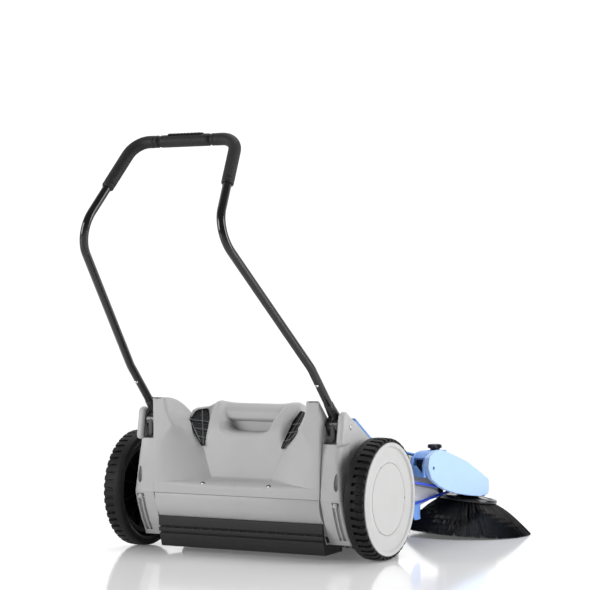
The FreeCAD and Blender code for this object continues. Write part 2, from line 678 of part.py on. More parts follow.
def arm_cover():
    """The blue shell over the brush: an outer cheek, a top skin, a front and a short inner cheek."""
    inner_x = BRUSH_X - (ARM_X - BRUSH_X)
    cheek = prism_x(ARM_OUTLINE, ARM_X - WALL, ARM_X)
    mid = [(450.0, 238.3), (544.0, 213.0), (640.0, 175.0), (691.0, 154.0)]
    skin = prism_x(mid + [(691, 149.7), (640, 170.7), (544, 208.7), (450, 234.0)], 312, ARM_X)
    wide = prism_x([(520, 219.6), (544, 213), (640, 175), (691, 154), (691, 149.7), (640, 170.7), (544, 208.7),
                    (520, 215.3)], inner_x, ARM_X)
    front = box(inner_x, ARM_X, 687, 691, 128, 152.5)
    inner = prism_x([(566, 205), (640, 175), (691, 154), (691, 130), (600, 134), (566, 150)], inner_x,
                    inner_x + WALL)
    shell = fuse([cheek, skin, wide, front, inner])
    return shell.cut(rod_x(ARM_X - 10, ARM_X + 5, ARM_PIVOT_Y, ARM_PIVOT_Z, 5 + FIT))


def arm_beam():
    """The black bearing beam inside the cover, from the pivot to the spindle."""
    top = [(306, 198), (306, 222), (345, 224), (450, 200), (560, 170), (622, 152), (622, 140), (560, 152),
           (450, 184), (345, 200)]
    beam = prism_x(top, 318, 334)
    bearing = axis_rod(33.0, 51.0, 12.5)
    neck = box(290, 334, 604, 684, 138, 149)
    lug = rod_x(318, 334, ARM_PIVOT_Y, ARM_PIVOT_Z, 14)
    flange = rod_x(333, ARM_X - WALL - 0.02, 480, 186, 9)
    beam = fuse([beam, neck, bearing, lug, flange])
    beam = beam.cut(rod_x(300, 340, ARM_PIVOT_Y, ARM_PIVOT_Z, 5 + FIT))
    return beam.cut(axis_rod(20, 47.5, SPINDLE_R + FIT))


def star_knob():
    """A five-lobed knob on a threaded post."""
    post = rod_z(KNOB_X, KNOB_Y, 240, KNOB_Z + 2, 5.0)
    core = rod_z(KNOB_X, KNOB_Y, KNOB_Z - 4.6, KNOB_Z + 11, 13)
    lobes = []
    for index in range(5):
        turn = 2 * math.pi * index / 5
        lobes.append(rod_z(KNOB_X + 13.5 * math.cos(turn), KNOB_Y + 13.5 * math.sin(turn), KNOB_Z, KNOB_Z + 11, 6))
    return fuse([post, core] + lobes)


def belt_bend(centre, axis, start, angle):
    """A round length of belt bent about a pulley's axis, from a start point through an angle in degrees."""
    heading = axis.cross(start - centre)
    section = Part.Face(Part.Wire(Part.makeCircle(BELT_R, start, heading)))
    return section.revolve(centre, axis, angle)


def brush_belt():
    """The round belt, twisted a quarter turn between the wheel's pulley and the brush's pulley."""
    axle = vec(DRIVE_X, 0, WHEEL_R)
    centre = on_axis(BRUSH_PULLEY_Z - PLATE_Z)
    side = Y.cross(BRUSH_AXIS).normalize()
    outer = centre + side * BRUSH_PULLEY_R
    inner = centre - side * BRUSH_PULLEY_R
    fall = math.atan2(axle.z + DRIVE_R - outer.z, outer.y)
    rise = math.atan2(inner.z - axle.z + DRIVE_R, inner.y)
    top = axle + vec(0, math.sin(fall), math.cos(fall)) * DRIVE_R
    low = axle + vec(0, math.sin(rise), -math.cos(rise)) * DRIVE_R
    round_drive = belt_bend(axle, X, top, 180 + math.degrees(fall + rise))
    round_brush = belt_bend(centre, BRUSH_AXIS, outer, 180)
    joints = [Part.makeSphere(BELT_R + 0.15, point) for point in (outer, inner, top, low)]
    return fuse([round_drive, round_brush, rod(top, outer, BELT_R), rod(low, inner, BELT_R)] + joints)


# ---------------------------------------------------------------- castor

def castor_fork():
    """Swivel fork: a stem in the nose's socket and two cheeks beside the wheel."""
    stem = rod_z(0, CASTOR_Y, 80, 123, 6)
    plate = rod_z(0, CASTOR_Y, 74, 80, 20)
    bridge = box(-17, 17, CASTOR_Y - CASTOR_TRAIL - 14, CASTOR_Y, 72, 78)
    cheek = prism_x([(CASTOR_Y + 6, 78), (CASTOR_Y - 36, 78), (CASTOR_Y - 32, 24), (CASTOR_Y - 12, 24)], 13, 17)
    return fuse([stem, plate, bridge, cheek, mirrored(cheek)]).cut(
        rod_x(-20, 20, CASTOR_Y - CASTOR_TRAIL, CASTOR_R, 4))


def castor_wheel():
    y = CASTOR_Y - CASTOR_TRAIL
    return ring_x(-11, 11, y, CASTOR_R, CASTOR_R, 4 + FIT)


def castor_pin():
    return rod_x(-17.5, 17.5, CASTOR_Y - CASTOR_TRAIL, CASTOR_R, 4)


NODES = {
    "side_frame_right": side_frame(1),
    "side_frame_left": side_frame(-1),
    "hood": hood(),
    "front_frame": front_frame(),
    "roller_housing": roller_housing(),
    "front_flap": front_flap(),
    "front_flap_bar": flap_bar(),
    "side_skirts": both_sides(side_skirt()),
    "roller_bearings": both_sides(roller_bearing()),
    "axle_stubs": both_sides(stub_axle()),
    "arm_bracket": arm_bracket(),
    "arm_pin": arm_pin(),
    "frame_screws": frame_screws(),
    "handle_pivot_pins": handle_pins(),
    "roller_belt": roller_belt(),
    "brush_belt": brush_belt(),
    "tyre_right": tyre(),
    "rim_right": rim(),
    "wheel_disc_right": wheel_disc(),
    "wheel_bush_right": wheel_bush(),
    "brush_drive_pulley": grooved_pulley(vec(DRIVE_X, 0, WHEEL_R), X, DRIVE_R, AXLE_R + FIT, 13.0),
    "tyre_left": mirrored(tyre()),
    "rim_left": mirrored(rim()),
    "wheel_disc_left": mirrored(wheel_disc()),
    "wheel_bush_left": mirrored(wheel_bush()),
    "roller_drive_pulley": wheel_pulley_left(),
    "handle_tube_right": handle_leg(1),
    "handle_tube_left": handle_leg(-1),
    "handle_bow": handle_bow(),
    "grip_left": grip("left"),
    "grip_right": grip("right"),
    "grip_middle": grip("middle"),
    "grip_pad": grip_pad(),
    "knuckle_right": handle_knuckle(),
    "knuckle_left": mirrored(handle_knuckle()),
    "lever_pins": lever_pins(),
    "lock_lever_right": lock_lever(),
    "lock_lever_left": mirrored(lock_lever()),
    "hopper_upper": hopper_upper(),
    "hopper_lower": hopper_lower(),
    "vent_right": vent(1),
    "vent_left": vent(-1),
    "dust_filters": Part.Compound([dust_filter(1), dust_filter(-1)]),
    "hopper_screws": hopper_screws(),
    "rear_flap": rear_flap(),
    "roller_shaft": roller_shaft(),
    "roller_core": roller_core(),
    "roller_bristles": roller_bristles(),
    "roller_pulley": roller_pulley(),
    "arm_cover": arm_cover(),
    "arm_beam": arm_beam(),
    "star_knob": star_knob(),
    "brush_plate": brush_plate(),
    "side_bristles": side_bristles(),
    "brush_spindle": brush_spindle(),
    "brush_pulley": brush_pulley(),
    "castor_fork": castor_fork(),
    "castor_wheel": castor_wheel(),
    "castor_pin": castor_pin(),
}

os.makedirs("parts", exist_ok=True)
for name, shape in NODES.items():
    moved = shape.copy()
    moved.translate(vec(-ORIGIN_X, -ORIGIN_Y, 0))
    moved.exportStep(f"parts/{name}.step")
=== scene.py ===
import bpy
import bmesh
import json
import math
import random
from mathutils import Matrix, Vector


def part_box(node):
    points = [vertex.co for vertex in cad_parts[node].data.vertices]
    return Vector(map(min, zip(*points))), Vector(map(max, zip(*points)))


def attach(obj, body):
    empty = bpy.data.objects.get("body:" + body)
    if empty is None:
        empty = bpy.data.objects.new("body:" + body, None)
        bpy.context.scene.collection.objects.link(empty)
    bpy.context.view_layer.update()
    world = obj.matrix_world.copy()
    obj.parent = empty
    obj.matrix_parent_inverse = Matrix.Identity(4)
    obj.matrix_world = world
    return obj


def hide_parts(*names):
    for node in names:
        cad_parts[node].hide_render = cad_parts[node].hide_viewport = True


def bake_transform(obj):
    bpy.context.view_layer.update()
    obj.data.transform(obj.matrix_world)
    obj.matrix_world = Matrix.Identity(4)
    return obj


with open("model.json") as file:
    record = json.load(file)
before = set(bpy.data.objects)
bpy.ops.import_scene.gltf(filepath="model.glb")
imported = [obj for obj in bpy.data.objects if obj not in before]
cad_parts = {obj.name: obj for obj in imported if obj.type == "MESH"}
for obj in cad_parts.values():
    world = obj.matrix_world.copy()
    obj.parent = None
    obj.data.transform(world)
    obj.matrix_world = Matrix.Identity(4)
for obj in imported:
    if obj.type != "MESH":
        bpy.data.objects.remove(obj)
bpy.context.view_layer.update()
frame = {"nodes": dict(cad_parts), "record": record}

# The pieces are written in millimetres from the ground under the wheel axle: X to the operator's right,
# Y forward, Z up. The stub axles give that point in the frame.
AXLE_LOW, AXLE_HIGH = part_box("axle_stubs")
SHIFT_X = (AXLE_LOW.x + AXLE_HIGH.x) / 2
SHIFT_Y = (AXLE_LOW.y + AXLE_HIGH.y) / 2
MM = 0.001

ACROSS = (1, 0, 0)
UPRIGHT = (0, 0, 1)
SIDES = ((1, "right"), (-1, "left"))
AXLE_Z = 155.0
AXLE = (0.0, 0.0, AXLE_Z)
BELT_PLANE = 319.5
HANDLE_PIVOT = (0, -72.0, 342.0)
ARM_PIVOT = (0, 322, 210)
KNOB_CENTRE = (318, 410, 257)
CASTOR_PIVOT = (0, 400, 0)
CASTOR_AXLE = (0, 378, 32)

CAMERA_AZIMUTH = math.radians(28.8065)
CAMERA_ELEVATION = math.radians(-0.1561)
CAMERA_TARGET = (110.43, 0.0, 671.59)
CAMERA_DISTANCE = 5.42357
CAMERA_LENS = 127.81
FLOOR_HALF = 30.0
FLOOR_DROP = 0.0005


def place(point):
    return Vector((point[0] * MM + SHIFT_X, point[1] * MM + SHIFT_Y, point[2] * MM))


def mix(a, b, t):
    return a + (b - a) * t


def clamp(value):
    return max(0.0, min(1.0, value))


def smooth(low, high, value):
    t = clamp((value - low) / (high - low))
    return t * t * (3 - 2 * t)


def along(table, value):
    """The value of a table of (input, output) pairs, in straight steps between them."""
    if value <= table[0][0]:
        return table[0][1]
    for (x0, y0), (x1, y1) in zip(table, table[1:]):
        if value <= x1:
            return mix(y0, y1, (value - x0) / (x1 - x0))
    return table[-1][1]


# ---------------------------------------------------------------- camera, floor and light

def add_object(name, data):
    obj = bpy.data.objects.new(name, data)
    bpy.context.scene.collection.objects.link(obj)
    return obj


def set_camera():
    level = math.cos(CAMERA_ELEVATION)
    back = Vector((math.sin(CAMERA_AZIMUTH) * level, -math.cos(CAMERA_AZIMUTH) * level,
                   math.sin(CAMERA_ELEVATION)))
    data = bpy.data.cameras.new("view_camera")
    data.lens = CAMERA_LENS
    data.sensor_width = 36.0
    data.clip_end = 60.0
    data.dof.use_dof = False
    camera = add_object("view_camera", data)
    camera.location = place(CAMERA_TARGET) + back * CAMERA_DISTANCE
    camera.rotation_euler = (-back).to_track_quat("-Z", "Y").to_euler()
    bpy.context.scene.camera = camera
    bpy.context.scene.view_settings.view_transform = "Standard"


def area_light(name, location, target, size, power, tint=(1.0, 1.0, 1.0)):
    data = bpy.data.lights.new(name, "AREA")
    data.shape = "RECTANGLE"
    data.size, data.size_y = size
    data.energy = power
    data.color = tint
    light = add_object(name, data)
    light.location = location
    light.rotation_euler = (Vector(location) - Vector(target)).to_track_quat("Z", "Y").to_euler()
    light.visible_camera = False


def set_light():
    """A white surround, brightest behind the object and dimmer towards the viewer, and four soft boxes."""
    world = bpy.data.worlds.new("studio")
    bpy.context.scene.world = world
    world.use_nodes = True
    nodes, links = world.node_tree.nodes, world.node_tree.links
    where = nodes.new("ShaderNodeTexCoord").outputs["Generated"]
    towards = nodes.new("ShaderNodeVectorMath")
    towards.operation = "DOT_PRODUCT"
    towards.inputs[1].default_value = (-0.48, 0.877, 0.0)
    links.new(where, towards.inputs[0])
    strength = nodes.new("ShaderNodeMapRange")
    strength.interpolation_type = "SMOOTHSTEP"
    strength.inputs["From Min"].default_value, strength.inputs["From Max"].default_value = -0.1, 0.75
    strength.inputs["To Min"].default_value, strength.inputs["To Max"].default_value = 0.24, 1.12
    links.new(towards.outputs["Value"], strength.inputs["Value"])
    links.new(strength.outputs["Result"], nodes["Background"].inputs["Strength"])
    nodes["Background"].inputs["Color"].default_value = (1.0, 1.0, 1.0, 1.0)
    area_light("soft_rear_left", (-2.9, -3.6, 1.5), (0, 0, 0.3), (2.2, 2.0), 120, (1.0, 0.995, 0.985))
    area_light("soft_right", (3.6, 0.3, 1.7), (0.2, 0.2, 0.2), (1.8, 2.2), 92)
    area_light("soft_low_right", (3.1, 0.5, 0.5), (0.25, 0.25, 0.1), (1.6, 0.7), 12)
    area_light("soft_top", (0.0, 0.6, 3.6), (0, 0, 0), (2.6, 2.6), 40)


def set_floor():
    mesh = bpy.data.meshes.new("floor")
    mesh.from_pydata([(x * FLOOR_HALF, y * FLOOR_HALF, -FLOOR_DROP) for x,
                      y in ((-1, -1), (1, -1), (1, 1), (-1, 1))],
                     [], [(0, 1, 2, 3)])
    floor = add_object("floor", mesh)
    material = bpy.data.materials.new("floor_white")
    material.use_nodes = True
    shader = material.node_tree.nodes["Principled BSDF"]
    shader.inputs["Base Color"].default_value = (0.93, 0.93, 0.94, 1.0)
    shader.inputs["Roughness"].default_value = 0.1
    shader.inputs["Emission Color"].default_value = (1.0, 1.0, 1.0, 1.0)
    shader.inputs["Emission Strength"].default_value = 0.1
    mesh.materials.append(material)


# ---------------------------------------------------------------- materials

def shader_nodes(name):
    """A new material, its nodes, links and shader, and the object's own coordinates."""
    material = bpy.data.materials.new(name)
    material.use_nodes = True
    nodes, links = material.node_tree.nodes, material.node_tree.links
    where = nodes.new("ShaderNodeTexCoord").outputs["Object"]
    return material, nodes, links, nodes["Principled BSDF"], where


def noise(nodes, links, coordinates, scale, detail=3.0, roughness=0.5):
    node = nodes.new("ShaderNodeTexNoise")
    node.inputs["Scale"].default_value = scale
    node.inputs["Detail"].default_value = detail
    node.inputs["Roughness"].default_value = roughness
    links.new(coordinates, node.inputs["Vector"])
    return node.outputs["Fac"]


def ramp(nodes, links, value, low, high, at=(0.3, 0.7)):
    node = nodes.new("ShaderNodeMapRange")
    node.inputs["From Min"].default_value, node.inputs["From Max"].default_value = at
    node.inputs["To Min"].default_value, node.inputs["To Max"].default_value = low, high
    links.new(value, node.inputs["Value"])
    return node.outputs["Result"]


def blend_colour(nodes, links, factor, first, second):
    node = nodes.new("ShaderNodeMix")
    node.data_type = "RGBA"
    for socket, value in ((node.inputs[6], first), (node.inputs[7], second)):
        if isinstance(value, tuple):
            socket.default_value = (*value, 1.0)
        else:
            links.new(value, socket)
    links.new(factor, node.inputs[0])
    return node.outputs[2]


def bump(nodes, links, height, strength, distance, below=None):
    node = nodes.new("ShaderNodeBump")
    node.inputs["Strength"].default_value = strength
    node.inputs["Distance"].default_value = distance
    links.new(height, node.inputs["Height"])
    if below is not None:
        links.new(below, node.inputs["Normal"])
    return node.outputs["Normal"]


def worn_edges(nodes, links, radius):
    """How far the rounded normal leaves the true one, high only along edges, and that rounded normal."""
    bevel = nodes.new("ShaderNodeBevel")
    bevel.samples = 4
    bevel.inputs["Radius"].default_value = radius
    geometry = nodes.new("ShaderNodeNewGeometry")
    dot = nodes.new("ShaderNodeVectorMath")
    dot.operation = "DOT_PRODUCT"
    links.new(bevel.outputs["Normal"], dot.inputs[0])
    links.new(geometry.outputs["Normal"], dot.inputs[1])
    node = nodes.new("ShaderNodeMapRange")
    node.inputs["From Min"].default_value, node.inputs["From Max"].default_value = 0.995, 0.8
    links.new(dot.outputs["Value"], node.inputs["Value"])
    return node.outputs["Result"], bevel.outputs["Normal"]


def moulded(name, colour, roughness=0.45, grain=0.25, grain_scale=900.0, edge_tint=1.12, edge=0.0012,
            dust=0.03,
            specular=0.5):
    """Moulded plastic or rubber: slight cloudiness, fine spark-eroded grain and paler worn edges."""
    material, nodes, links, shader, where = shader_nodes(name)
    cloud = noise(nodes, links, where, 9.0, 4.0)
    fine = noise(nodes, links, where, grain_scale, 2.0)
    scuff = noise(nodes, links, where, 60.0, 6.0, 0.65)
    darker = tuple(c * 0.94 for c in colour)
    body = blend_colour(nodes, links, ramp(nodes, links, cloud, 0.0, 1.0), darker, colour)
    dusty = tuple(mix(c, 0.6, 0.5) for c in colour)
    body = blend_colour(nodes, links, ramp(nodes, links, scuff, 0.0, dust, (0.5, 0.75)), body, dusty)
    wear, rounded = worn_edges(nodes, links, edge)
    pale = tuple(min(1.0, c * edge_tint + 0.01) for c in colour)
    body = blend_colour(nodes, links, wear, body, pale)
    links.new(body, shader.inputs["Base Color"])
    links.new(ramp(nodes, links, scuff, roughness - 0.06, roughness + 0.08), shader.inputs["Roughness"])
    links.new(bump(nodes, links, fine, grain, 0.0004, rounded), shader.inputs["Normal"])
    shader.inputs["Specular IOR Level"].default_value = specular
    return material


def lacquer(name, colour, roughness=0.12, grain_scale=350.0):
    """Gloss paint on tube: an orange-peel bump under a hard shine, with faint rub marks."""
    material, nodes, links, shader, where = shader_nodes(name)
    peel = noise(nodes, links, where, grain_scale, 2.0)
    marks = noise(nodes, links, where, 35.0, 6.0, 0.7)
    links.new(blend_colour(nodes, links, ramp(nodes, links, marks, 0.0, 1.0), colour,
                           tuple(c * 1.4 + 0.002 for c in colour)), shader.inputs["Base Color"])
    links.new(ramp(nodes, links, marks, roughness - 0.04, roughness + 0.1), shader.inputs["Roughness"])
    links.new(bump(nodes, links, peel, 0.03, 0.0002), shader.inputs["Normal"])
    shader.inputs["Specular IOR Level"].default_value = 0.3
    shader.inputs["Coat Weight"].default_value = 0.35
    shader.inputs["Coat Roughness"].default_value = 0.06
    return material


def steel(name, colour=(0.62, 0.62, 0.64), roughness=0.32):
    """Zinc-plated steel with fine turning marks and dull patches."""
    material, nodes, links, shader, where = shader_nodes(name)
    patches = noise(nodes, links, where, 80.0, 5.0)
    lines = noise(nodes, links, where, 1500.0, 1.0)
    links.new(blend_colour(nodes, links, ramp(nodes, links, patches, 0.0, 1.0), colour,
                           tuple(c * 0.8 for c in colour)), shader.inputs["Base Color"])
    links.new(ramp(nodes, links, patches, roughness - 0.08, roughness + 0.12), shader.inputs["Roughness"])
    links.new(bump(nodes, links, lines, 0.12, 0.0002), shader.inputs["Normal"])
    shader.inputs["Metallic"].default_value = 1.0
    return material


def strands(name, colour, tip, roughness=0.35):
    """Plastic filament: each strand a little different, paler where the tips are scuffed."""
    material, nodes, links, shader, where = shader_nodes(name)
    each = noise(nodes, links, where, 160.0, 3.0, 0.7)
    streak = noise(nodes, links, where, 700.0, 2.0)
    links.new(blend_colour(nodes, links, ramp(nodes, links, each, 0.0, 1.0, (0.45, 0.8)), colour, tip),
              shader.inputs["Base Color"])
    links.new(ramp(nodes, links, streak, roughness - 0.1, roughness + 0.2), shader.inputs["Roughness"])
    links.new(bump(nodes, links, streak, 0.15, 0.0002), shader.inputs["Normal"])
    shader.inputs["Specular IOR Level"].default_value = 0.3
    return material


def pleated(name):
    """Filter paper with pleats along X, drawn as painted light and shade in pale and dark colour bands, and a
    soft fibre.
    """
    material, nodes, links, shader, where = shader_nodes(name)
    wave = nodes.new("ShaderNodeTexWave")
    wave.inputs["Scale"].default_value = 60.0
    links.new(where, wave.inputs["Vector"])
    fibre = noise(nodes, links, where, 800.0, 4.0)
    # The wave paints the pleats' lit and shaded faces into the colour.
    links.new(blend_colour(nodes, links, wave.outputs["Fac"], (0.5, 0.48, 0.42), (0.72, 0.7, 0.64)),
              shader.inputs["Base Color"])
    links.new(ramp(nodes, links, fibre, 0.75, 0.95), shader.inputs["Roughness"])
    links.new(bump(nodes, links, fibre, 0.4, 0.0005), shader.inputs["Normal"])
    return material


GREY = moulded("grey_plastic", (0.43, 0.43, 0.435), 0.48, 0.22)
FRAME_GREY = moulded("frame_grey_plastic", (0.44, 0.44, 0.445), 0.48, 0.22)
LIGHT = moulded("light_plastic", (0.50, 0.50, 0.495), 0.42, 0.2)
BLUE = moulded("blue_plastic", (0.18, 0.37, 0.81), 0.42, 0.2)
# A lighter copy of the blue plastic for the arm's cover: painted light for the side lamp falling on it.
BLUE_PAINTED_LIT = moulded("pale_blue_plastic", (0.42, 0.61, 0.96), 0.42, 0.2)
DARK_GREY = moulded("dark_grey_plastic", (0.045, 0.046, 0.05), 0.45, 0.25)
BLACK = moulded("black_plastic", (0.006, 0.006, 0.007), 0.36, 0.15, edge_tint=1.5, dust=0.008, specular=0.35)
GLOSS_BLACK = moulded("gloss_black_plastic", (0.006, 0.006, 0.007), 0.2, 0.06, edge_tint=1.5, dust=0.015)
RUBBER = moulded("black_rubber", (0.020, 0.020, 0.020), 0.58, 0.5, 420.0, 1.5, 0.0008, 0.03, 0.3)
TYRE = moulded("tyre_black", (0.007, 0.007, 0.007), 0.55, 0.35, 500.0, 1.6, 0.001, 0.02, 0.2)
GRIP = moulded("black_grip", (0.009, 0.009, 0.010), 0.6, 0.6, 520.0, 1.5, 0.0008, 0.02, 0.35)
BELT = moulded("belt_blue", (0.02, 0.07, 0.66), 0.35, 0.25, 600.0, 1.2, 0.0006, 0.02)
PAINT = lacquer("black_paint", (0.003, 0.003, 0.0035))
STEEL = steel("zinc_steel")
BRISTLE = strands("black_bristle", (0.003, 0.003, 0.0035), (0.022, 0.022, 0.024))
FILTER = pleated("filter_cloth")
LEVER_GREY = moulded("lever_grey_plastic", (0.028, 0.028, 0.03), 0.4, 0.2)
# The belt guard's near-white colour is painted light. It brightens a panel that the arm shades.
GUARD_PAINTED_LIT = moulded("guard_plastic_painted_lit", (0.92, 0.92, 0.92), 0.45, 0.2)
# A dark navy copy of the blue plastic: painted shade for the shaded hollow inside the yoke.
BLUE_PAINTED_SHADE = moulded("blue_plastic_painted_shade", (0.012, 0.025, 0.085), 0.5, 0.2)
VENT_BAR = moulded("vent_bar_plastic", (0.16, 0.165, 0.18), 0.4, 0.2)

SLOT_MATERIALS = {
    "grey_plastic": GREY, "light_plastic": LIGHT, "blue_plastic": BLUE, "pale_blue_plastic": BLUE_PAINTED_LIT,
    "dark_grey_plastic": DARK_GREY, "black_plastic": BLACK, "black_rubber": RUBBER, "tyre_black": TYRE,
    "belt_blue": BELT, "black_paint": PAINT, "black_grip": GRIP, "black_bristle": BRISTLE,
    "filter_cloth": FILTER, "zinc_steel": STEEL,
}


def finish_cad_nodes():
    """Every CAD node keeps its shape and gets the finish of its material slot."""
    for entry in frame["record"]["subparts"]:
        slots = frame["nodes"][entry["node"]].material_slots
        for index in range(len(slots)):
            slots[index].material = SLOT_MATERIALS[entry["material_slot"]]


# ---------------------------------------------------------------- mesh tools
# A form is (vertices in millimetres, faces).

def join(*forms):
    vertices, faces = [], []
    for more, loops in forms:
        base = len(vertices)
        vertices += more
        faces += [tuple(i + base for i in loop) for loop in loops]
    return vertices, faces


def mirror(form):
    vertices, faces = form
    return [(-v[0], v[1], v[2]) for v in vertices], [tuple(reversed(loop)) for loop in faces]


def on_side(side):
    """What turns a form made for the right side into one for this side."""
    return mirror if side < 0 else (lambda form: form)


def both(form):
    return join(form, mirror(form))


def turned(form, centre, axis, degrees):
    turn = Matrix.Translation(Vector(centre)) @ Matrix.Rotation(math.radians(degrees), 4, Vector(axis)) \
        @ Matrix.Translation(-Vector(centre))
    vertices, faces = form
    return [tuple(turn @ Vector(v)) for v in vertices], faces


def moved(form, step):
    vertices, faces = form
    return [(v[0] + step[0], v[1] + step[1], v[2] + step[2]) for v in vertices], faces


def round_corners(outline, radius, steps=4):
    """The outline with each corner replaced by a short arc, as far as its sides allow."""
    result = []
    count = len(outline)
    for index in range(count):
        before, corner, after = (Vector(outline[(index + k) % count]) for k in (-1, 0, 1))
        to_before, to_after = before - corner, after - corner
        half = to_before.angle(to_after) / 2
        reach = min(radius / math.tan(half), to_before.length * 0.45, to_after.length * 0.45)
        if reach < 0.05 or half > math.radians(88):
            result.append(tuple(corner))
            continue
        start = corner + to_before.normalized() * reach
        end = corner + to_after.normalized() * reach
        for step in range(steps + 1):
            t = step / steps
            result.append(tuple(start * (1 - t) ** 2 + corner * 2 * t * (1 - t) + end * t * t))
    return result


def slab(outline, axis, low, high, bevel=0.0, segments=2):
    """An outline pushed along x, y or z, with its edges rounded."""
    corner = {"x": lambda p, q, d: (d, p, q), "y": lambda p, q, d: (p, d, q), "z": lambda p, q,
              d: (p, q, d)}[axis]
    mesh = bmesh.new()
    near = [mesh.verts.new(corner(p, q, low)) for p, q in outline]
    far = [mesh.verts.new(corner(p, q, high)) for p, q in outline]
    mesh.faces.new(near)
    mesh.faces.new(list(reversed(far)))
    for index in range(len(outline)):
        after = (index + 1) % len(outline)
        mesh.faces.new((near[after], near[index], far[index], far[after]))
    bmesh.ops.recalc_face_normals(mesh, faces=mesh.faces)
    if bevel:
        sharp = [edge for edge in mesh.edges if edge.calc_face_angle(0) > math.radians(25)]
        bmesh.ops.bevel(mesh, geom=sharp, offset=bevel, segments=segments, profile=0.5, affect="EDGES",
                        clamp_overlap=True)
    mesh.verts.index_update()
    form = [tuple(v.co) for v in mesh.verts], [tuple(v.index for v in face.verts) for face in mesh.faces]
    mesh.free()
    return form


def block(x0, x1, y0, y1, z0, z1, bevel=1.0):
    return slab([(x0, y0), (x1, y0), (x1, y1), (x0, y1)], "z", z0, z1, bevel)


def grid_faces(rows, columns, loop_rows=False, loop_columns=False):
    """Four-sided faces between the points of a grid, closed on itself in either direction where asked."""
    return [(r * columns + c, r * columns + (c + 1) % columns,
             (r + 1) % rows * columns + (c + 1) % columns, (r + 1) % rows * columns + c)
            for r in range(rows if loop_rows else rows - 1)
            for c in range(columns if loop_columns else columns - 1)]


def end_caps(rows, columns):
    return [tuple(reversed(range(columns))), tuple(range((rows - 1) * columns, rows * columns))]


def sheet_form(grid):
    """A form from rows of points."""
    return [p for row in grid for p in row], grid_faces(len(grid), len(grid[0]))


def lathe(profile, origin, axis, steps=96):
    """A surface of revolution from (distance along the axis, radius) points."""
    axis = Vector(axis).normalized()
    side = axis.orthogonal().normalized()
    other = axis.cross(side)
    vertices = []
    for step in range(steps):
        turn = 2 * math.pi * step / steps
        outward = side * math.cos(turn) + other * math.sin(turn)
        vertices += [tuple(Vector(origin) + axis * d + outward * r) for d, r in profile]
    return vertices, grid_faces(steps, len(profile), True)


def ring(profile, origin, axis, steps=96):
    """A closed profile turned round an axis."""
    return lathe(list(profile) + [profile[0]], origin, axis, steps)


def bent_path(points, radii, gap=4.0):
    """Points along a run of straight lines whose corners are rounded by true arcs."""
    points = [Vector(p) for p in points]
    path = [points[0]]
    for before, corner, after, radius in zip(points, points[1:], points[2:], radii):
        to_before, to_after = (before - corner).normalized(), (after - corner).normalized()
        half = to_before.angle(to_after) / 2
        reach = radius / math.tan(half)
        start, end = corner + to_before * reach, corner + to_after * reach
        centre = corner + (to_before + to_after).normalized() * (radius / math.sin(half))
        axis = (start - centre).cross(end - centre).normalized()
        sweep_angle = (start - centre).angle(end - centre)
        steps = max(4, int(radius * sweep_angle / gap))
        for step in range(steps + 1):
            path.append(centre + Matrix.Rotation(sweep_angle * step / steps, 3, axis) @ (start - centre))
    path.append(points[-1])
    return path


def refined(path, gap):
    """The same path with its long steps divided."""
    result = [path[0]]
    for start, end in zip(path, path[1:]):
        steps = max(1, int((end - start).length / gap))
        result += [start.lerp(end, step / steps) for step in range(1, steps + 1)]
    return result


def sweep(path, radius, steps=24, closed=False):
    """A round tube along a path. radius is a number, or a function of the distance from its start."""
    count = len(path)
    ahead = [(path[(i + 1) % count] - path[i]).normalized() for i in range(count)]
    if not closed:
        ahead[-1] = (path[-1] - path[-2]).normalized()
    tangents = []
    for i in range(count):
        last = ahead[i - 1] if (closed or i > 0) else ahead[0]
        tangents.append((last + ahead[i]).normalized())
    side = tangents[0].orthogonal().normalized()
    distance = 0.0
    vertices = []
    for i in range(count):
        if i:
            distance += (path[i] - path[i - 1]).length
            side = (side - tangents[i] * side.dot(tangents[i])).normalized()
        other = tangents[i].cross(side)
        size = radius(distance) if callable(radius) else radius
        for step in range(steps):
            turn = 2 * math.pi * step / steps
            vertices.append(tuple(path[i] + (side * math.cos(turn) + other * math.sin(turn)) * size))
    return vertices, grid_faces(count, steps, closed, True) + ([] if closed else end_caps(count, steps))


def form_mesh(name, form, merge, dissolve):
    """The form as a mesh in the frame, with doubled points merged and faces turned outwards."""
    vertices, faces = form
    mesh = bpy.data.meshes.new(name)
    mesh.from_pydata([place(v) for v in vertices], [], faces)
    work = bmesh.new()
    work.from_mesh(mesh)
    if merge:
        bmesh.ops.remove_doubles(work, verts=work.verts, dist=1e-6)
    if dissolve:
        bmesh.ops.dissolve_degenerate(work, dist=1e-7, edges=work.edges)
    bmesh.ops.recalc_face_normals(work, faces=work.faces)
    work.to_mesh(mesh)
    work.free()
    return mesh


def piece(name, body, material, form, nodes=(), angle=32.0, merge=True):
    """A finished object from a form, riding on a body and standing for these CAD nodes."""
    mesh = form_mesh(name, form, merge, merge)
    mesh.materials.append(material)
    smooth_by_angle(mesh, angle)
    obj = add_object(name, mesh)
    if body:
        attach(obj, body)
    if nodes:
        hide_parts(*nodes)
    return obj


def smooth_by_angle(mesh, angle):
    for polygon in mesh.polygons:
        polygon.use_smooth = True
    mesh.set_sharp_from_angle(angle=math.radians(angle))


def settle(obj, angle=32.0):
    """Make the object's modifiers part of its mesh."""
    bpy.context.view_layer.update()
    done = bpy.data.meshes.new_from_object(obj.evaluated_get(bpy.context.evaluated_depsgraph_get()))
    old = obj.data
    done.name = old.name + "_final"
    obj.modifiers.clear()
    obj.data = done
    bpy.data.meshes.remove(old)
    smooth_by_angle(obj.data, angle)


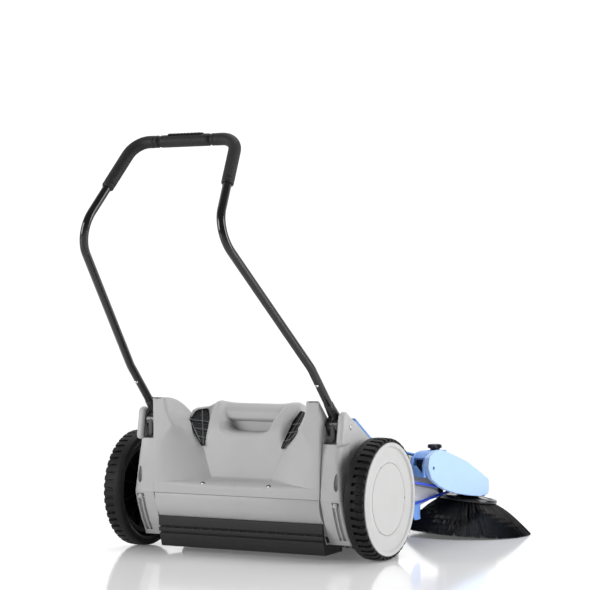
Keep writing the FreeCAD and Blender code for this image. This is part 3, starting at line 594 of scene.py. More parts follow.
def carve(obj, *cutters, angle=32.0):
    """Cut these forms out of the piece."""
    for form in cutters:
        cutter = add_object("cutter", form_mesh("cutter", form, True, False))
        modifier = obj.modifiers.new("cut", "BOOLEAN")
        modifier.operation = "DIFFERENCE"
        modifier.solver = "EXACT"
        modifier.object = cutter
        settle(obj, angle)
        mesh = cutter.data
        bpy.data.objects.remove(cutter)
        bpy.data.meshes.remove(mesh)


# ---------------------------------------------------------------- hopper

HOPPER_SIDE = 244.0
CREASE = [(197.5, 90.6), (281.0, 121.0), (345.0, 171.0)]
SHELL_LOW = 155.9
BAND_TOP = 182.0
SHELL_FRONT = 35.0
REAR_SCREW = (98.0, -116.9, 181.2)
BACKWARD = (0, -1, 0)


def crease(z):
    """Half the width of the middle block at a height."""
    return along(CREASE, z)


def vent_depth(a, z):
    """Y of the vent's slanted plane at this half-width and height."""
    return -78.7 + 0.782 * (z - 281) - 0.534 * (a - 112.8)


def middle_depth(a, z):
    """Y of the middle block's rear surface: panel, shoulders, vent slopes, hand recess and carry grip."""
    over = max(0.0, z - 306)
    y = -83.4 + 0.128 * (z - 197.5) + 0.0061 * over * over
    y += smooth(285, 335, z) * 22 * clamp((a - 103) / 24) ** 1.7
    vent_edge = along([(281.0, 115.0), (345.0, 123.0), (371.0, 141.0)], z)
    y = mix(y, vent_depth(a, z), smooth(vent_edge - 9, vent_edge + 1, a) * smooth(279, 290, z))
    half = along([(345.0, 79.0), (384.0, 101.0)], z)
    inside = ((a / half) ** 3.4 + (max(0.0, 345 - z) / 36) ** 3.4) ** (1 / 3.4)
    if z < 346.2:
        return mix(y, -13.0, smooth(1.0, 0.84, inside)) if inside < 1 else y
    grip = along([(346.0, -20.0), (351.0, -27.0), (366.0, -26.0), (376.0, -20.0), (384.0, -9.0)], z)
    return mix(y, grip, smooth(half + 1, half - 8, a))


def scoop_depth(a, z, inner):
    """Y of the hollow between the middle block and the ear."""
    deep = along([(182.0, -90.0), (197.5, -83.4), (230.0, -78.2), (281.0, -70.6), (344.0, -38.0)], z)
    edge = along([(182.0, 240.0), (281.0, 236.0), (315.0, 207.0), (333.0, 190.0), (368.0, 207.0),
                  (402.0, 213.0)], z)
    outer = along([(156.0, -118.0), (182.0, -117.0), (340.0, -119.0), (402.0, -121.0)], z)
    s = clamp((a - inner) / (edge - inner))
    curve = mix(1 - (1 - s) ** 1.8, s, smooth(320, 365, z))
    return mix(deep, outer, curve)


def shell_grid():
    """The rear skin of the right half as rows of columns from the middle outwards."""
    top_line = [(0, 384.0), (95, 384.0), (106, 386.5), (120, 386.0), (131, 381.0), (141, 372.0), (168, 368.0),
                (171, 366.0)]
    middle_columns, scoop_columns = 96, 44
    low_rows, ledge_rows, panel_rows, high_rows = 4, 5, 34, 56
    grid = []
    for row in range(low_rows + ledge_rows + panel_rows + high_rows + 1):
        points = []
        for column in range(middle_columns + scoop_columns + 2):
            middle = column <= middle_columns
            u = column / middle_columns if middle else (column - middle_columns - 1) / scoop_columns
            low_x = 90.6 * u if middle else mix(90.6, HOPPER_SIDE, u)
            ledge = 182 + 15.5 * clamp((225 - low_x) / 134)
            if middle:
                top = along(top_line, 171 * u)
            else:
                fan = clamp((213 - mix(171, HOPPER_SIDE, u)) / 42)
                top = 402 - 54 * fan ** 2.2
            if row <= low_rows:
                z = mix(SHELL_LOW, BAND_TOP, row / low_rows)
                points.append((low_x, mix(-118.0, -117.0, row / low_rows), z))
                continue
            step = row - low_rows
            if step <= ledge_rows:
                z = ledge
            elif step <= ledge_rows + panel_rows:
                z = mix(ledge, 300.0, (step - ledge_rows) / panel_rows)
            else:
                z = mix(300.0, top, (step - ledge_rows - panel_rows) / high_rows)
            inner = crease(z)
            a = inner * u if middle else mix(inner, HOPPER_SIDE, u)
            y = middle_depth(a, z) if middle else scoop_depth(a, z, inner)
            if step <= ledge_rows:
                t = step / ledge_rows
                rounded = t + 0.08 * math.sin(2 * math.pi * t)
                points.append((mix(low_x, a, t), mix(-117.0, y, t), mix(BAND_TOP, z, rounded)))
            else:
                points.append((a, y, z))
        grid.append(points)
    return grid, middle_columns


def smoothed(grid, rounds, fixed_columns=()):
    """The grid with each inner point drawn towards its neighbours, which rounds its creases."""
    for _ in range(rounds):
        result = [list(row) for row in grid]
        for r in range(1, len(grid) - 1):
            for c in range(1, len(grid[0]) - 1):
                if c in fixed_columns:
                    continue
                near = (grid[r - 1][c], grid[r + 1][c], grid[r][c - 1], grid[r][c + 1])
                result[r][c] = tuple(mix(grid[r][c][k], sum(p[k] for p in near) / 4, 0.5) for k in range(3))
        grid = result
    return grid


def shell_roof(grid, middle_columns):
    """The top of the shell: over the grip and shoulders, over the valley, and down the back of the ear."""
    forms = []
    rows = []
    top = grid[-1][:middle_columns + 1]
    for step in range(15):
        t = step / 14
        row = []
        for a, y, z in top:
            new_y = mix(y, SHELL_FRONT, t)
            fall = 32.0 * smooth(8, SHELL_FRONT, new_y) * clamp((z - 350) / 34)
            rise = 2.6 * math.sin(math.pi * clamp((new_y - y) / 40)) * smooth(60, 100, a)
            lift = 1.6 * math.sin(math.pi * clamp((new_y - y) / 34))
            row.append((a, new_y, z + lift + rise - fall))
        rows.append(row)
    forms.append(sheet_form(rows))
    ear_top = grid[-1][middle_columns + 1:]
    outer = []
    for a, y, z in ear_top:
        t = clamp((213 - a) / 42)
        outer.append((HOPPER_SIDE, -121 + 62 * t, 402 - 60 * t))
    forms.append(sheet_form([[tuple(mix(p[k], q[k], s / 6) for k in range(3)) for p, q in zip(ear_top, outer)]
                             for s in range(7)]))
    start, end = ear_top[0], outer[0]
    forms.append(sheet_form([[start, end], [(start[0], SHELL_FRONT, start[2] - 4),
                                            (end[0], SHELL_FRONT, end[2])]]))
    return forms


def shell_side(grid):
    """The flat outer wall under the ear."""
    edge = [row[-1] for row in grid]
    front = [(HOPPER_SIDE, SHELL_FRONT, z) if z <= 342 else (HOPPER_SIDE, -121 + 62 * (402 - z) / 60,
                                                             z) for _, _, z in edge]
    return sheet_form([[tuple(mix(p[k], q[k], s / 4) for k in range(3)) for p, q in zip(edge, front)]
                       for s in range(5)])


def ear_ribs():
    """Three grip ribs across the ear's top rear edge."""
    ribs = []
    for index in range(4):
        y = -119.5 + 7.0 * index
        z = 402.6 - 1.02 * (y + 121)
        ribs.append(block(216, 242.6, y, y + 3.2, z - 4.5, z + 0.4 - 0.6 * index, 0.8))
    return join(*ribs)


def hopper_pieces():
    grid, middle_columns = shell_grid()
    wall_y = [(row[middle_columns][0], row[middle_columns + 1][1] + 1.5,
               row[middle_columns][2]) for row in grid]
    flank = sheet_form([[row[middle_columns], deep] for row, deep in zip(grid, wall_y) if row[0][2] > 198.5])
    rounded = smoothed(grid, 2, (middle_columns, middle_columns + 1))
    middle, faces = sheet_form([row[:middle_columns + 1] for row in rounded])
    edge = grown(VENT_OUTLINE, 0.6)
    faces = [f for f in faces if not within(edge, *(sum(middle[v][k] for v in f) / 4 for k in (0, 2)))]
    half = join((middle, faces),
                sheet_form([row[middle_columns + 1:] for row in rounded]),
                flank, *shell_roof(rounded, middle_columns), shell_side(rounded))
    shell = piece("rear_shell", "hopper", GREY, both(half), ["hopper_upper"], 40)
    thickness = shell.modifiers.new("wall", "SOLIDIFY")
    thickness.thickness = 0.003
    thickness.offset = -1.0
    settle(shell, 40)

    outline = [(-117.9, 155.2), (-117.2, 134), (-112, 117), (-104.5, 104.5), (-95.5, 95.5), (-93.5, 93),
               (-89.5, 60),
               (-78, 40), (35, 34), (42, 58), (39, 59), (33, 38), (-75, 44), (-85.5, 62), (-89.5, 94),
               (-100, 108),
               (-108, 119), (-113, 134), (-113.9, 155.2)]
    tray = slab(outline, "x", -HOPPER_SIDE, HOPPER_SIDE, 0.7)
    end_wall = slab([(-116, 155.2), (-115.4, 134), (-110.5, 118), (-102, 104), (-92, 93), (-88, 60),
                     (-76, 42),
                     (35, 36), (35, 155.2)], "x", HOPPER_SIDE - 4, HOPPER_SIDE - 0.3, 0.7)
    piece("rear_tray", "hopper", GREY, join(tray, both(end_wall)), ["hopper_lower"], 30)
    piece("ear_ribs", "hopper", GREY, both(ear_ribs()))
    screw = screw_head(REAR_SCREW, BACKWARD, 4.4, 1.6)
    piece("rear_screws", "hopper", STEEL, both(screw), ["hopper_screws"])
    seat = lathe([(-1.0, 7.4), (0.5, 7.2), (0.9, 6.6), (0.5, 6.0), (0.1, 5.6), (0.1, 0.0)], REAR_SCREW,
                 BACKWARD, 28)
    piece("rear_screw_seats", "hopper", BLACK, both(seat))


def screw_head(centre, out, radius, height):
    """A pan head with a cross recess."""
    profile = [(-2.0, radius), (0.0, radius), (height * 0.6, radius * 0.9), (height, radius * 0.6),
               (height, radius * 0.42), (height * 0.3, radius * 0.30), (height * 0.3, 0.0)]
    return lathe(profile, centre, out, 20)


def vent_plane(a, z, lift=0.0):
    """The point of the vent's plane here, lifted off it to the rear."""
    return (a, vent_depth(a, z) - lift, z)


VENT_OUTLINE = [(115.0, 284.5), (118.5, 281.5), (122.0, 281.5), (150.0, 315.0), (169.0, 343.0),
                (170.0, 349.0),
                (166.5, 364.0), (162.0, 368.0), (143.0, 371.5), (138.5, 370.0), (124.0, 346.0),
                (119.5, 322.0)]


def within(outline, a, z):
    """Whether a point lies inside an outline."""
    inside = False
    for (a0, z0), (a1, z1) in zip(outline, outline[1:] + outline[:1]):
        if (z0 > z) != (z1 > z) and a < a0 + (a1 - a0) * (z - z0) / (z1 - z0):
            inside = not inside
    return inside


def vent_form(outline, low, high):
    """A plate with this outline on the vent's plane, between two lifts."""
    near = [vent_plane(a, z, low) for a, z in outline]
    far = [vent_plane(a, z, high) for a, z in outline]
    count = len(outline)
    faces = [tuple(range(count)), tuple(reversed(range(count, 2 * count)))]
    faces += [((i + 1) % count, i, i + count, (i + 1) % count + count) for i in range(count)]
    return near + far, faces


def grown(outline, amount):
    centre = [sum(p[k] for p in outline) / len(outline) for k in (0, 1)]
    result = []
    for a, z in outline:
        step = Vector((a - centre[0], z - centre[1]))
        far = step + step.normalized() * amount
        result.append((centre[0] + far.x, centre[1] + far.y))
    return result


def vent_pieces():
    """Black grille in a thin black frame, with cross bars, a middle bar and fine slats."""
    back = vent_form(VENT_OUTLINE, -4.0, -1.2)
    frame_outer, frame_inner = grown(VENT_OUTLINE, 3.0), grown(VENT_OUTLINE, -0.2)
    loops = [[vent_plane(a, z, -5.0) for a, z in frame_outer],
             [vent_plane(a, z, 1.3) for a, z in frame_outer],
             [vent_plane(a, z, 1.5) for a, z in frame_inner],
             [vent_plane(a, z, -5.0) for a, z in frame_inner]]
    frame_ring = [p for loop in loops for p in loop], grid_faces(4, len(VENT_OUTLINE), True, True)

    def across(z, width, low, high):
        inner = along([(281.5, 115.0), (322.0, 119.5), (346.0, 124.0), (370.0, 138.5)], z)
        outer = along([(281.5, 122.0), (315.0, 150.0), (343.0, 169.0), (349.0, 170.0), (364.0, 166.5),
                       (368.0, 162.0)], z)
        tilt = 3.0
        return vent_form([(inner, z - tilt), (outer, z - width / 2 + tilt), (outer, z + width / 2 + tilt),
                          (inner, z + width - tilt)], low, high)

    slats = [across(286 + 5.2 * k, 1.4, -3.0, -0.4) for k in range(16)]
    bars = [across(z, 1.5, -3.0, 0.5) for z in (300.0, 320.0, 341.0)]
    spine = vent_form([(117.6, 283), (119.0, 283), (152.8, 369), (151.2, 369.4)], -3.0, 0.4)
    for side, name in SIDES:
        turn = on_side(side)
        piece(f"vent_grille_{name}", "hopper", GLOSS_BLACK,
              turn(join(back, *slats)), [f"vent_{name}"], 30)
        piece(f"vent_bars_{name}", "hopper", VENT_BAR, turn(join(*bars, spine)), (), 30)
        piece(f"vent_frame_{name}", "hopper", BLACK, turn(frame_ring), (), 30)


def rear_flap_pieces():
    """The rubber strip: a flat clamp band, two ridges with small clips, and the hanging blade."""
    outline = [(-94.2, 93.5), (-98.6, 92.5), (-98.9, 90.0), (-98.6, 69.0), (-97.6, 67.0), (-91.5, 66.6),
               (-91.3, 63.0),
               (-98.4, 62.4), (-98.9, 61.0), (-97.6, 53.0), (-96.6, 51.6), (-89.5, 51.2), (-89.2, 47.6),
               (-94.6, 47.0),
               (-94.4, 44.5), (-89.5, 30.0), (-84.2, 13.5), (-80.7, 12.0), (-84.5, 32.0), (-86.0, 60.0)]
    strip = slab(outline, "x", -HOPPER_SIDE, HOPPER_SIDE, 0.5, 1)
    clips = [block(x - 2.2, x + 2.2, -99.0, -95.8, 60.2, 65.0, 0.6) for x in range(-224, 225, 28)]
    wing = slab(round_corners([(-90, 64), (-30, 50), (10, 40), (10, 15), (-81, 12.3), (-88, 30)], 3, 3),
                "x", 240.6,
                HOPPER_SIDE - 0.2, 0.5, 1)
    piece("rear_rubber", "hopper", RUBBER, join(strip, both(wing), *clips), ["rear_flap"], 30)


# ---------------------------------------------------------------- side frames and covers

FRAME_OUT = 308.0
POCKET_IN, POCKET_OUT = 249.0, 287.0


def column_rear(z):
    """Y of the rear column's back edge at a height."""
    return along([(39.0, -63.0), (78.0, -88.0), (118.0, -106.0), (155.5, -118.0), (262.0, -112.0),
                  (378.0, -94.0)], z)


def column_form():
    """The hollow-looking rear column: a tapering post with a round outer corner."""
    rows = []
    levels = [39.5, 45, 52, 60, 70, 78, 88, 100, 110, 118, 130, 142, 150, 154.6, 155.4, 156.2, 165, 185,
              205, 225,
              245, 262, 280, 296]
    for z in levels:
        rear = column_rear(z) + (0.9 if abs(z - 155.4) < 0.5 else 0.0)
        front = -60.0
        radius = min(mix(8.0, 17.0, clamp((z - 155) / 120)), 0.8 * (front - rear))
        notch = 1.2 if abs(z - 155.4) < 0.5 else 0.0
        row = [(247.0, front, z), (247.0, rear + 1.2, z), (248.2, rear, z)]
        outer = FRAME_OUT - 9.0 * clamp((z - 156) / 120) - notch
        row += [(264.0, rear, z), (282.0, rear, z)]
        for step in range(7):
            turn = math.pi / 2 * step / 6
            row.append((outer - radius + radius * math.sin(turn), rear + radius - radius * math.cos(turn), z))
        row += [(outer, min(rear + radius + 2, front - 0.5), z),
                (FRAME_OUT - notch, min(max(-78.0, rear + radius + 4), front - 0.4), z),
                (FRAME_OUT - notch, front, z)]
        rows.append(row)
    size = len(rows), len(rows[0])
    return [p for row in rows for p in row], grid_faces(*size, False, True) + end_caps(*size)


def teardrop(x, z, width, height, deep):
    """A pointed-oval pocket in the column's rear face."""
    outline = []
    for step in range(28):
        turn = 2 * math.pi * step / 28
        lean = 0.5 * (1 + math.cos(turn))
        outline.append((x + width / 2 * math.sin(turn) * (1 - 0.35 * lean), z + height / 2 * math.cos(turn)))
    return slab(outline, "y", -140.0, -118.0 + deep)


def channel_cut(x0, x1):
    """A slot down the column's rear face that follows its curve, from the latch block to the foot."""
    rows = []
    for z in (140.0, 128, 118, 108, 98, 88, 78, 68, 60, 52):
        rows.append((column_rear(z), z))
    outline = [(y - 12, z) for y, z in rows] + [(y + 6.5, z) for y, z in reversed(rows)]
    return slab(outline, "x", x0, x1)


def side_frame_pieces(side, name):
    turn = on_side(side)
    post = piece(f"column_{name}", "chassis", FRAME_GREY, turn(column_form()),
                 [f"side_frame_{name}"], 28)
    carve(post, turn(teardrop(291.0, 201.0, 15.5, 44.0, 12.0)), turn(channel_cut(278.5, 286.0)),
          turn(channel_cut(289.5, 299.0)), turn(block(278.5, 300.0, -140, -110.5, 144.0, 151.0, 0.5)),
          angle=28)
    latch = join(block(284.0, 294.5, -118.6, -108, 137.5, 149.5, 1.2),
                 block(286.0, 292.5, -119.6, -116, 141, 146, 0.8))
    cheek = slab(round_corners([(-113.2, 292.0), (-100.5, 371.0), (-86.0, 379.5), (-48.0, 355.5),
                                (-48.0, 292.0)], 12, 6),
                 "x", POCKET_OUT, FRAME_OUT - 0.4, 8.0, 6)
    ledge = block(247.5, POCKET_OUT + 1, -82.0, -61.0, 294.0, 315.5, 2.0)
    inner_wall = slab([(-106, 294), (-96, 340), (-60, 340), (-58, 294)], "x", 247.0, POCKET_IN, 0.6)
    wall = [(-74.0, 262.0), (-70.0, 364.0), (-48.0, 354.0), (39.0, 304.5), (110.0, 271.5), (110.0, 118.0),
            (52.0, 106.0), (36.0, 68.0), (-38.0, 40.0), (-62.0, 40.0), (-80.0, 78.0), (-96.0, 118.0),
            (-104.0, 150.0), (-96.0, 180.0)]
    outer = slab(round_corners(wall, 8, 4), "x", FRAME_OUT - 4, FRAME_OUT - 0.02, 1.0)
    forward = slab([(104, 271), (200, 261), (341, 235.5), (349, 172), (104, 166)], "x", FRAME_OUT - 12,
                   FRAME_OUT - 8,
                   0.8)
    link = block(FRAME_OUT - 12, FRAME_OUT, 104, 110, 118, 271, 0.8)
    inner = slab(round_corners([(40, 110), (40, 300), (200, 262), (555, 168), (555, 126), (490, 105),
                                (430, 96),
                                (320, 60), (290, 52), (45, 52)], 6, 3), "x", 257.0, 261.0, 0.8)
    web = block(259, FRAME_OUT - 2, 104, 110, 110, 165, 0.8)
    rib = block(259, FRAME_OUT - 2, 44, 50, 215, 262, 0.8)
    front_link = block(259, FRAME_OUT - 10, 342, 348, 170, 228, 0.8)
    boss = ring([(FRAME_OUT - 16, 24.0), (FRAME_OUT + 0.5, 24.0), (FRAME_OUT + 1.5, 23.0),
                 (FRAME_OUT + 1.5, 9.5),
                 (FRAME_OUT - 16, 9.5)], AXLE, ACROSS, 48)
    rails = join(slab([(60, 150), (60, 156), (330, 108), (330, 102)], "x", 261.0, 264.0, 0.8),
                 slab([(130, 244), (130, 250), (540, 160), (540, 154)], "x", 261.0, 264.0, 0.8))
    panel = slab(round_corners([(300, 162), (404, 154), (520, 134), (552, 124), (550, 110), (404, 106),
                                (300, 106)], 5, 4),
                 "x", 261.0, 264.5, 1.2, 2)
    # The guard panel's near-white colour is painted light over the arm's shadow.
    piece(f"belt_guard_{name}", "chassis", GUARD_PAINTED_LIT, turn(panel), (), 30)
    piece(f"frame_{name}", "chassis", FRAME_GREY,
          turn(join(cheek, ledge, inner_wall, outer, forward, link, inner, web, rib, front_link, boss,
                    rails, latch)), (), 28)
    groove = slab([(-104.0, 300.0), (-97.5, 352.0), (-91.5, 366.5), (-84.0, 372.5), (-70.0, 368.4),
                   (-62.0, 362.4),
                   (-62.0, 361.0), (-70.5, 366.8), (-83.4, 370.6), (-90.2, 365.4), (-96.2, 351.6),
                   (-102.8, 300.0)],
                  "x", POCKET_OUT - 1.6, POCKET_OUT + 3.4)
    piece(f"cheek_seal_{name}", "chassis", RUBBER, turn(groove), (), 30)


def hood_pieces():
    """The blue cover: rounded along its edges, with two shallow stiffening beads over the nose."""
    line = [(-18, 359), (20, 335.5), (72, 305), (130, 288), (200, 268), (298, 253), (330, 247), (341, 237)]
    line = round_corners(line + [(341, 226), (337, 226), (336, 236), (326, 242.6), (298, 249), (200, 264),
                                 (130, 280),
                                 (72, 297), (20, 329), (-18, 353)], 5, 3)
    half = FRAME_OUT - 13
    wide = slab(line, "x", -half, half, 1.4, 2)
    cover = piece("hood_cover", "chassis", BLUE, wide, ["hood"], 30)
    carve(cover, block(-246, 246, -60, 37, 240, 420, 0), angle=30)
    nose_line = round_corners([(335, 240), (430, 214), (520, 190), (546, 180), (553, 168), (553, 112),
                               (549, 112),
                               (549, 166), (543, 176), (519, 186), (429, 210), (335, 236)], 7, 4)
    nose = slab(nose_line, "x", -256, 256, 1.6, 3)
    beads = [slab([(350, 236.5), (350, 240), (520, 193), (520, 189)], "x", x - 5, x + 5, 1.6,
                  2) for x in (-150, 0, 150)]
    skirt = slab([(-18, 356), (72, 300), (72, 264), (-18, 300)], "x", half - 4, half, 1.2)
    piece("hood_nose", "chassis", BLUE, join(nose, *beads, both(skirt)), (), 30)


def front_frame_pieces():
    wall = slab([(-256, 92), (-256, 150), (256, 150), (256, 92)], "y", 424, 429, 1.2)
    sole = block(-256, 256, 352, 424, 92, 97, 1.2)
    leg = slab(round_corners([(380, 112), (429, 112), (429, 66), (420, 60), (398, 60), (384, 70)], 5, 3),
               "x", 261.5,
               266.0, 1.0)
    foot = block(255, 266, 424, 429, 60, 92, 0.8)
    ribs = [block(x - 2, x + 2, 356, 424, 97, 118, 0.8) for x in (-200, -120, -60, 60, 120, 200)]
    socket = ring([(84, 15), (122, 15), (124, 13.5), (124, 6.3), (84, 6.3)], CASTOR_PIVOT, UPRIGHT, 40)
    piece("nose_frame", "chassis", BLUE,
          join(wall, sole, both(leg), both(foot), socket, *ribs),
          ["front_frame"], 30)


def chassis_details():
    front = slab([(304, 74), (307, 74), (307, 40), (305.6, 6.2), (304.4, 6.2), (304, 40)], "x", -255, 255,
                 0.3, 1)
    piece("front_rubber", "chassis", RUBBER, front, ["front_flap"], 30)
    bar = block(-255, 255, 307.2, 311, 56, 74, 1.0)
    heads = [screw_head((x, 311.2, 65), (0, 1, 0), 4.5, 1.5) for x in range(-225, 226, 75)]
    piece("front_rubber_bar", "chassis", STEEL, join(bar, *heads), ["front_flap_bar"], 30)
    skirt = slab(round_corners([(48, 64), (296, 64), (296, 16), (286, 6.2), (58, 6.2), (48, 16)], 6, 3),
                 "x", 261.3,
                 264.0, 0.4, 1)
    piece("side_rubbers", "chassis", RUBBER, both(skirt), ["side_skirts"], 30)
    screws = [screw_head((FRAME_OUT + 0.1, y, z), ACROSS, 6.8, 2.2) for y,
              z in ((-67, 339), (60, 262), (20, 90))]
    piece("side_screws", "chassis", STEEL, both(join(*screws)), ["frame_screws"], 30)


# ---------------------------------------------------------------- wheels

TYRE_IN, TYRE_OUT = 329.7, 383.6
LUG_COUNT = 46
LUG_GROOVE = 148.4


def tyre_form():
    """A carcass with a smooth inner shoulder band and lugs outside it, parted by stepped slots."""
    columns = []
    for pitch in range(LUG_COUNT):
        for t, mid, out in ((0.0, 1, 1), (0.48, 1, 1), (0.52, 1, 0), (0.60, 1, 0), (0.64, 0, 0), (0.90, 0, 0),
                            (0.94, 0, 1), (0.96, 0, 1)):
            columns.append((2 * math.pi * (pitch + t) / LUG_COUNT, mid, out))
    vertices = []
    for angle, mid, out in columns:
        middle = 155.0 if mid else LUG_GROOVE
        outer = 154.6 if out else LUG_GROOVE
        profile = [(TYRE_IN + 0.6, 139.6), (TYRE_IN, 143), (TYRE_IN + 0.2, 148), (TYRE_IN + 2.2, 152.2),
                   (TYRE_IN + 6, 154.1), (TYRE_IN + 14, 154.9), (TYRE_IN + 20.5, 155.0),
                   (TYRE_IN + 21.3, middle),
                   (TYRE_IN + 35, middle), (TYRE_IN + 35.8, outer), (TYRE_IN + 46, outer - 0.3),
                   (TYRE_IN + 50.5, outer - 1.6), (TYRE_OUT - 1.2, mix(146.8, outer - 3.4, out)),
                   (TYRE_OUT, 145.6), (TYRE_OUT - 0.2, 144.2), (TYRE_OUT - 2.2, 142.0),
                   (TYRE_OUT - 2.2, 139.6)]
        vertices += [(x, r * math.sin(angle), AXLE_Z + r * math.cos(angle)) for x, r in profile]
    return vertices, grid_faces(len(columns), len(vertices) // len(columns), True, True)


def rim_form():
    """The black rim seen from the inside: a barrel, stepped rings, a web with ribs and the hub."""
    barrel = ring([(TYRE_IN + 2, 139.5), (TYRE_IN + 1, 137.0), (TYRE_IN + 3, 131.0), (TYRE_IN + 6, 129.0),
                   (TYRE_IN + 24, 127.0), (TYRE_IN + 32, 126.0), (TYRE_OUT - 10, 127.0),
                   (TYRE_OUT - 5, 132.0),
                   (TYRE_OUT - 3.2, 139.5)], AXLE, ACROSS, 120)
    step = ring([(TYRE_IN + 24, 127.5), (TYRE_IN + 18, 120.0), (TYRE_IN + 17, 112.0), (TYRE_IN + 19, 107.0),
                 (TYRE_IN + 27, 104.0), (TYRE_IN + 27, 31.0), (TYRE_IN + 32, 31.0), (TYRE_IN + 32, 127.5)],
                AXLE,
                ACROSS, 120)
    hub = ring([(TYRE_IN + 2.5, 16.0), (TYRE_IN + 2.5, 28.0), (TYRE_IN + 4, 30.0), (TYRE_IN + 43, 30.0),
                (TYRE_IN + 44, 28.5), (TYRE_IN + 44, 14.1), (TYRE_IN + 2.5, 14.1)], AXLE, ACROSS, 64)
    ribs = []
    for index in range(12):
        rib = slab([(28.0, TYRE_IN + 8), (28.0, TYRE_IN + 28), (106.0, TYRE_IN + 28),
                    (106.0, TYRE_IN + 21)], "y", -1.6,
                   1.6, 0.5, 1)
        vertices = [(v[2], v[1], AXLE_Z + v[0]) for v in rib[0]]
        ribs.append(turned((vertices, rib[1]), AXLE, ACROSS, 30 * index + 15))
    return join(barrel, step, hub, *ribs)


def disc_form():
    """The light cover: outer lip, bevelled step, a dished face and a fine round groove with three catches."""
    o = TYRE_OUT
    profile = [(o - 8.0, 143.0), (o + 1.2, 143.4), (o + 2.6, 142.6), (o + 2.8, 141.2), (o + 2.4, 137.0),
               (o + 1.4, 134.4), (o - 0.4, 133.2), (o - 3.0, 131.6), (o - 4.2, 129.6), (o - 4.4, 127.0),
               (o - 3.9, 110.0), (o - 3.3, 93.2), (o - 3.5, 92.7), (o - 5.2, 92.5), (o - 5.2, 91.3),
               (o - 3.5, 91.1),
               (o - 3.2, 90.6), (o - 2.7, 60.0), (o - 2.4, 30.0), (o - 2.3, 0.0)]
    face = lathe(profile, AXLE, ACROSS, 160)
    back = lathe([(o - 8.0, 143.0), (o - 8.0, 0.0)], AXLE, ACROSS, 160)
    return join(face, back)


def disc_catches():
    marks = []
    for index in range(3):
        mark = block(TYRE_OUT - 4.4, TYRE_OUT - 3.0, -2.0, 2.0, AXLE_Z + 92.2, AXLE_Z + 94.6, 0.4)
        marks.append(turned(mark, AXLE, ACROSS, 120 * index + 28))
    return join(*marks)


def wheel_pieces(side, name):
    turn = on_side(side)
    body = f"wheel_{name}"
    piece(f"tyre_{name}_tread", body, TYRE, turn(tyre_form()), [f"tyre_{name}"], 26)
    piece(f"rim_{name}_web", body, BLACK, turn(rim_form()), [f"rim_{name}"], 30)
    piece(f"disc_{name}", body, LIGHT, turn(disc_form()), [f"wheel_disc_{name}"], 24)
    piece(f"disc_{name}_catches", body, DARK_GREY, turn(disc_catches()), (), 30)


def pulley_form(x, y, z, radius, bore, width, groove, axis=ACROSS, steps=80):
    """A pulley with a flange each side; groove is the depth of its round groove, or 0 for a flat one."""
    half = width / 2
    profile = [(-half, bore), (-half, radius + 1.5), (-half + 0.8, radius + 2.3), (-half + 1.8, radius + 1.6)]
    if groove:
        profile += [(-half + 2.4, radius + 0.4)]
        for step in range(9):
            turn = math.pi * step / 8
            profile.append((-math.cos(turn) * (half - 3.2), radius + 0.4 - groove * math.sin(turn)))
        profile += [(half - 2.4, radius + 0.4)]
    else:
        profile += [(-half + 2.0, radius), (half - 2.0, radius)]
    profile += [(half - 1.8, radius + 1.6), (half - 0.8, radius + 2.3), (half, radius + 1.5), (half, bore)]
    return ring(profile, (x, y, z), axis, steps)


# ---------------------------------------------------------------- handle

LOW_KINK = (266.0, -200.0, 489.5)
HIGH_KINK = (197.0, -537.0, 820.0)
CORNER = (147.0, -358.0, 1051.6)
TUBE_END = (267.0, -86.0, 373.0)


def handle_line():
    """The whole tube's centre line, from the right knuckle over the bow to the left one."""
    right = [TUBE_END, LOW_KINK, HIGH_KINK, CORNER]
    left = [(-p[0], p[1], p[2]) for p in reversed(right)]
    return refined(bent_path(right + left, [120, 80, 50, 50, 80, 120]), 6.0)


def stretch(path, start, end):
    """The part of a path between two distances from its start."""
    result, distance = [], 0.0
    for before, after in zip(path, path[1:]):
        length = (after - before).length
        if distance <= end and distance + length >= start:
            if not result:
                result.append(before.lerp(after, clamp((start - distance) / length)))
            result.append(before.lerp(after, clamp((end - distance) / length)))
        distance += length
    return result


def path_length(path):
    return sum((b - a).length for a, b in zip(path, path[1:]))


def grip_profile(length, seams, radius=15.6):
    """The sleeve's radius: soft round ends and narrow moulded rings."""
    def size(distance):
        value = radius - 2.6 * (1 - smooth(0, 5, distance)) - 2.6 * smooth(length - 5, length, distance)
        for seam in seams:
            value -= 1.1 * max(0.0, 1 - abs(distance - seam) / 1.6)
        return value
    return size


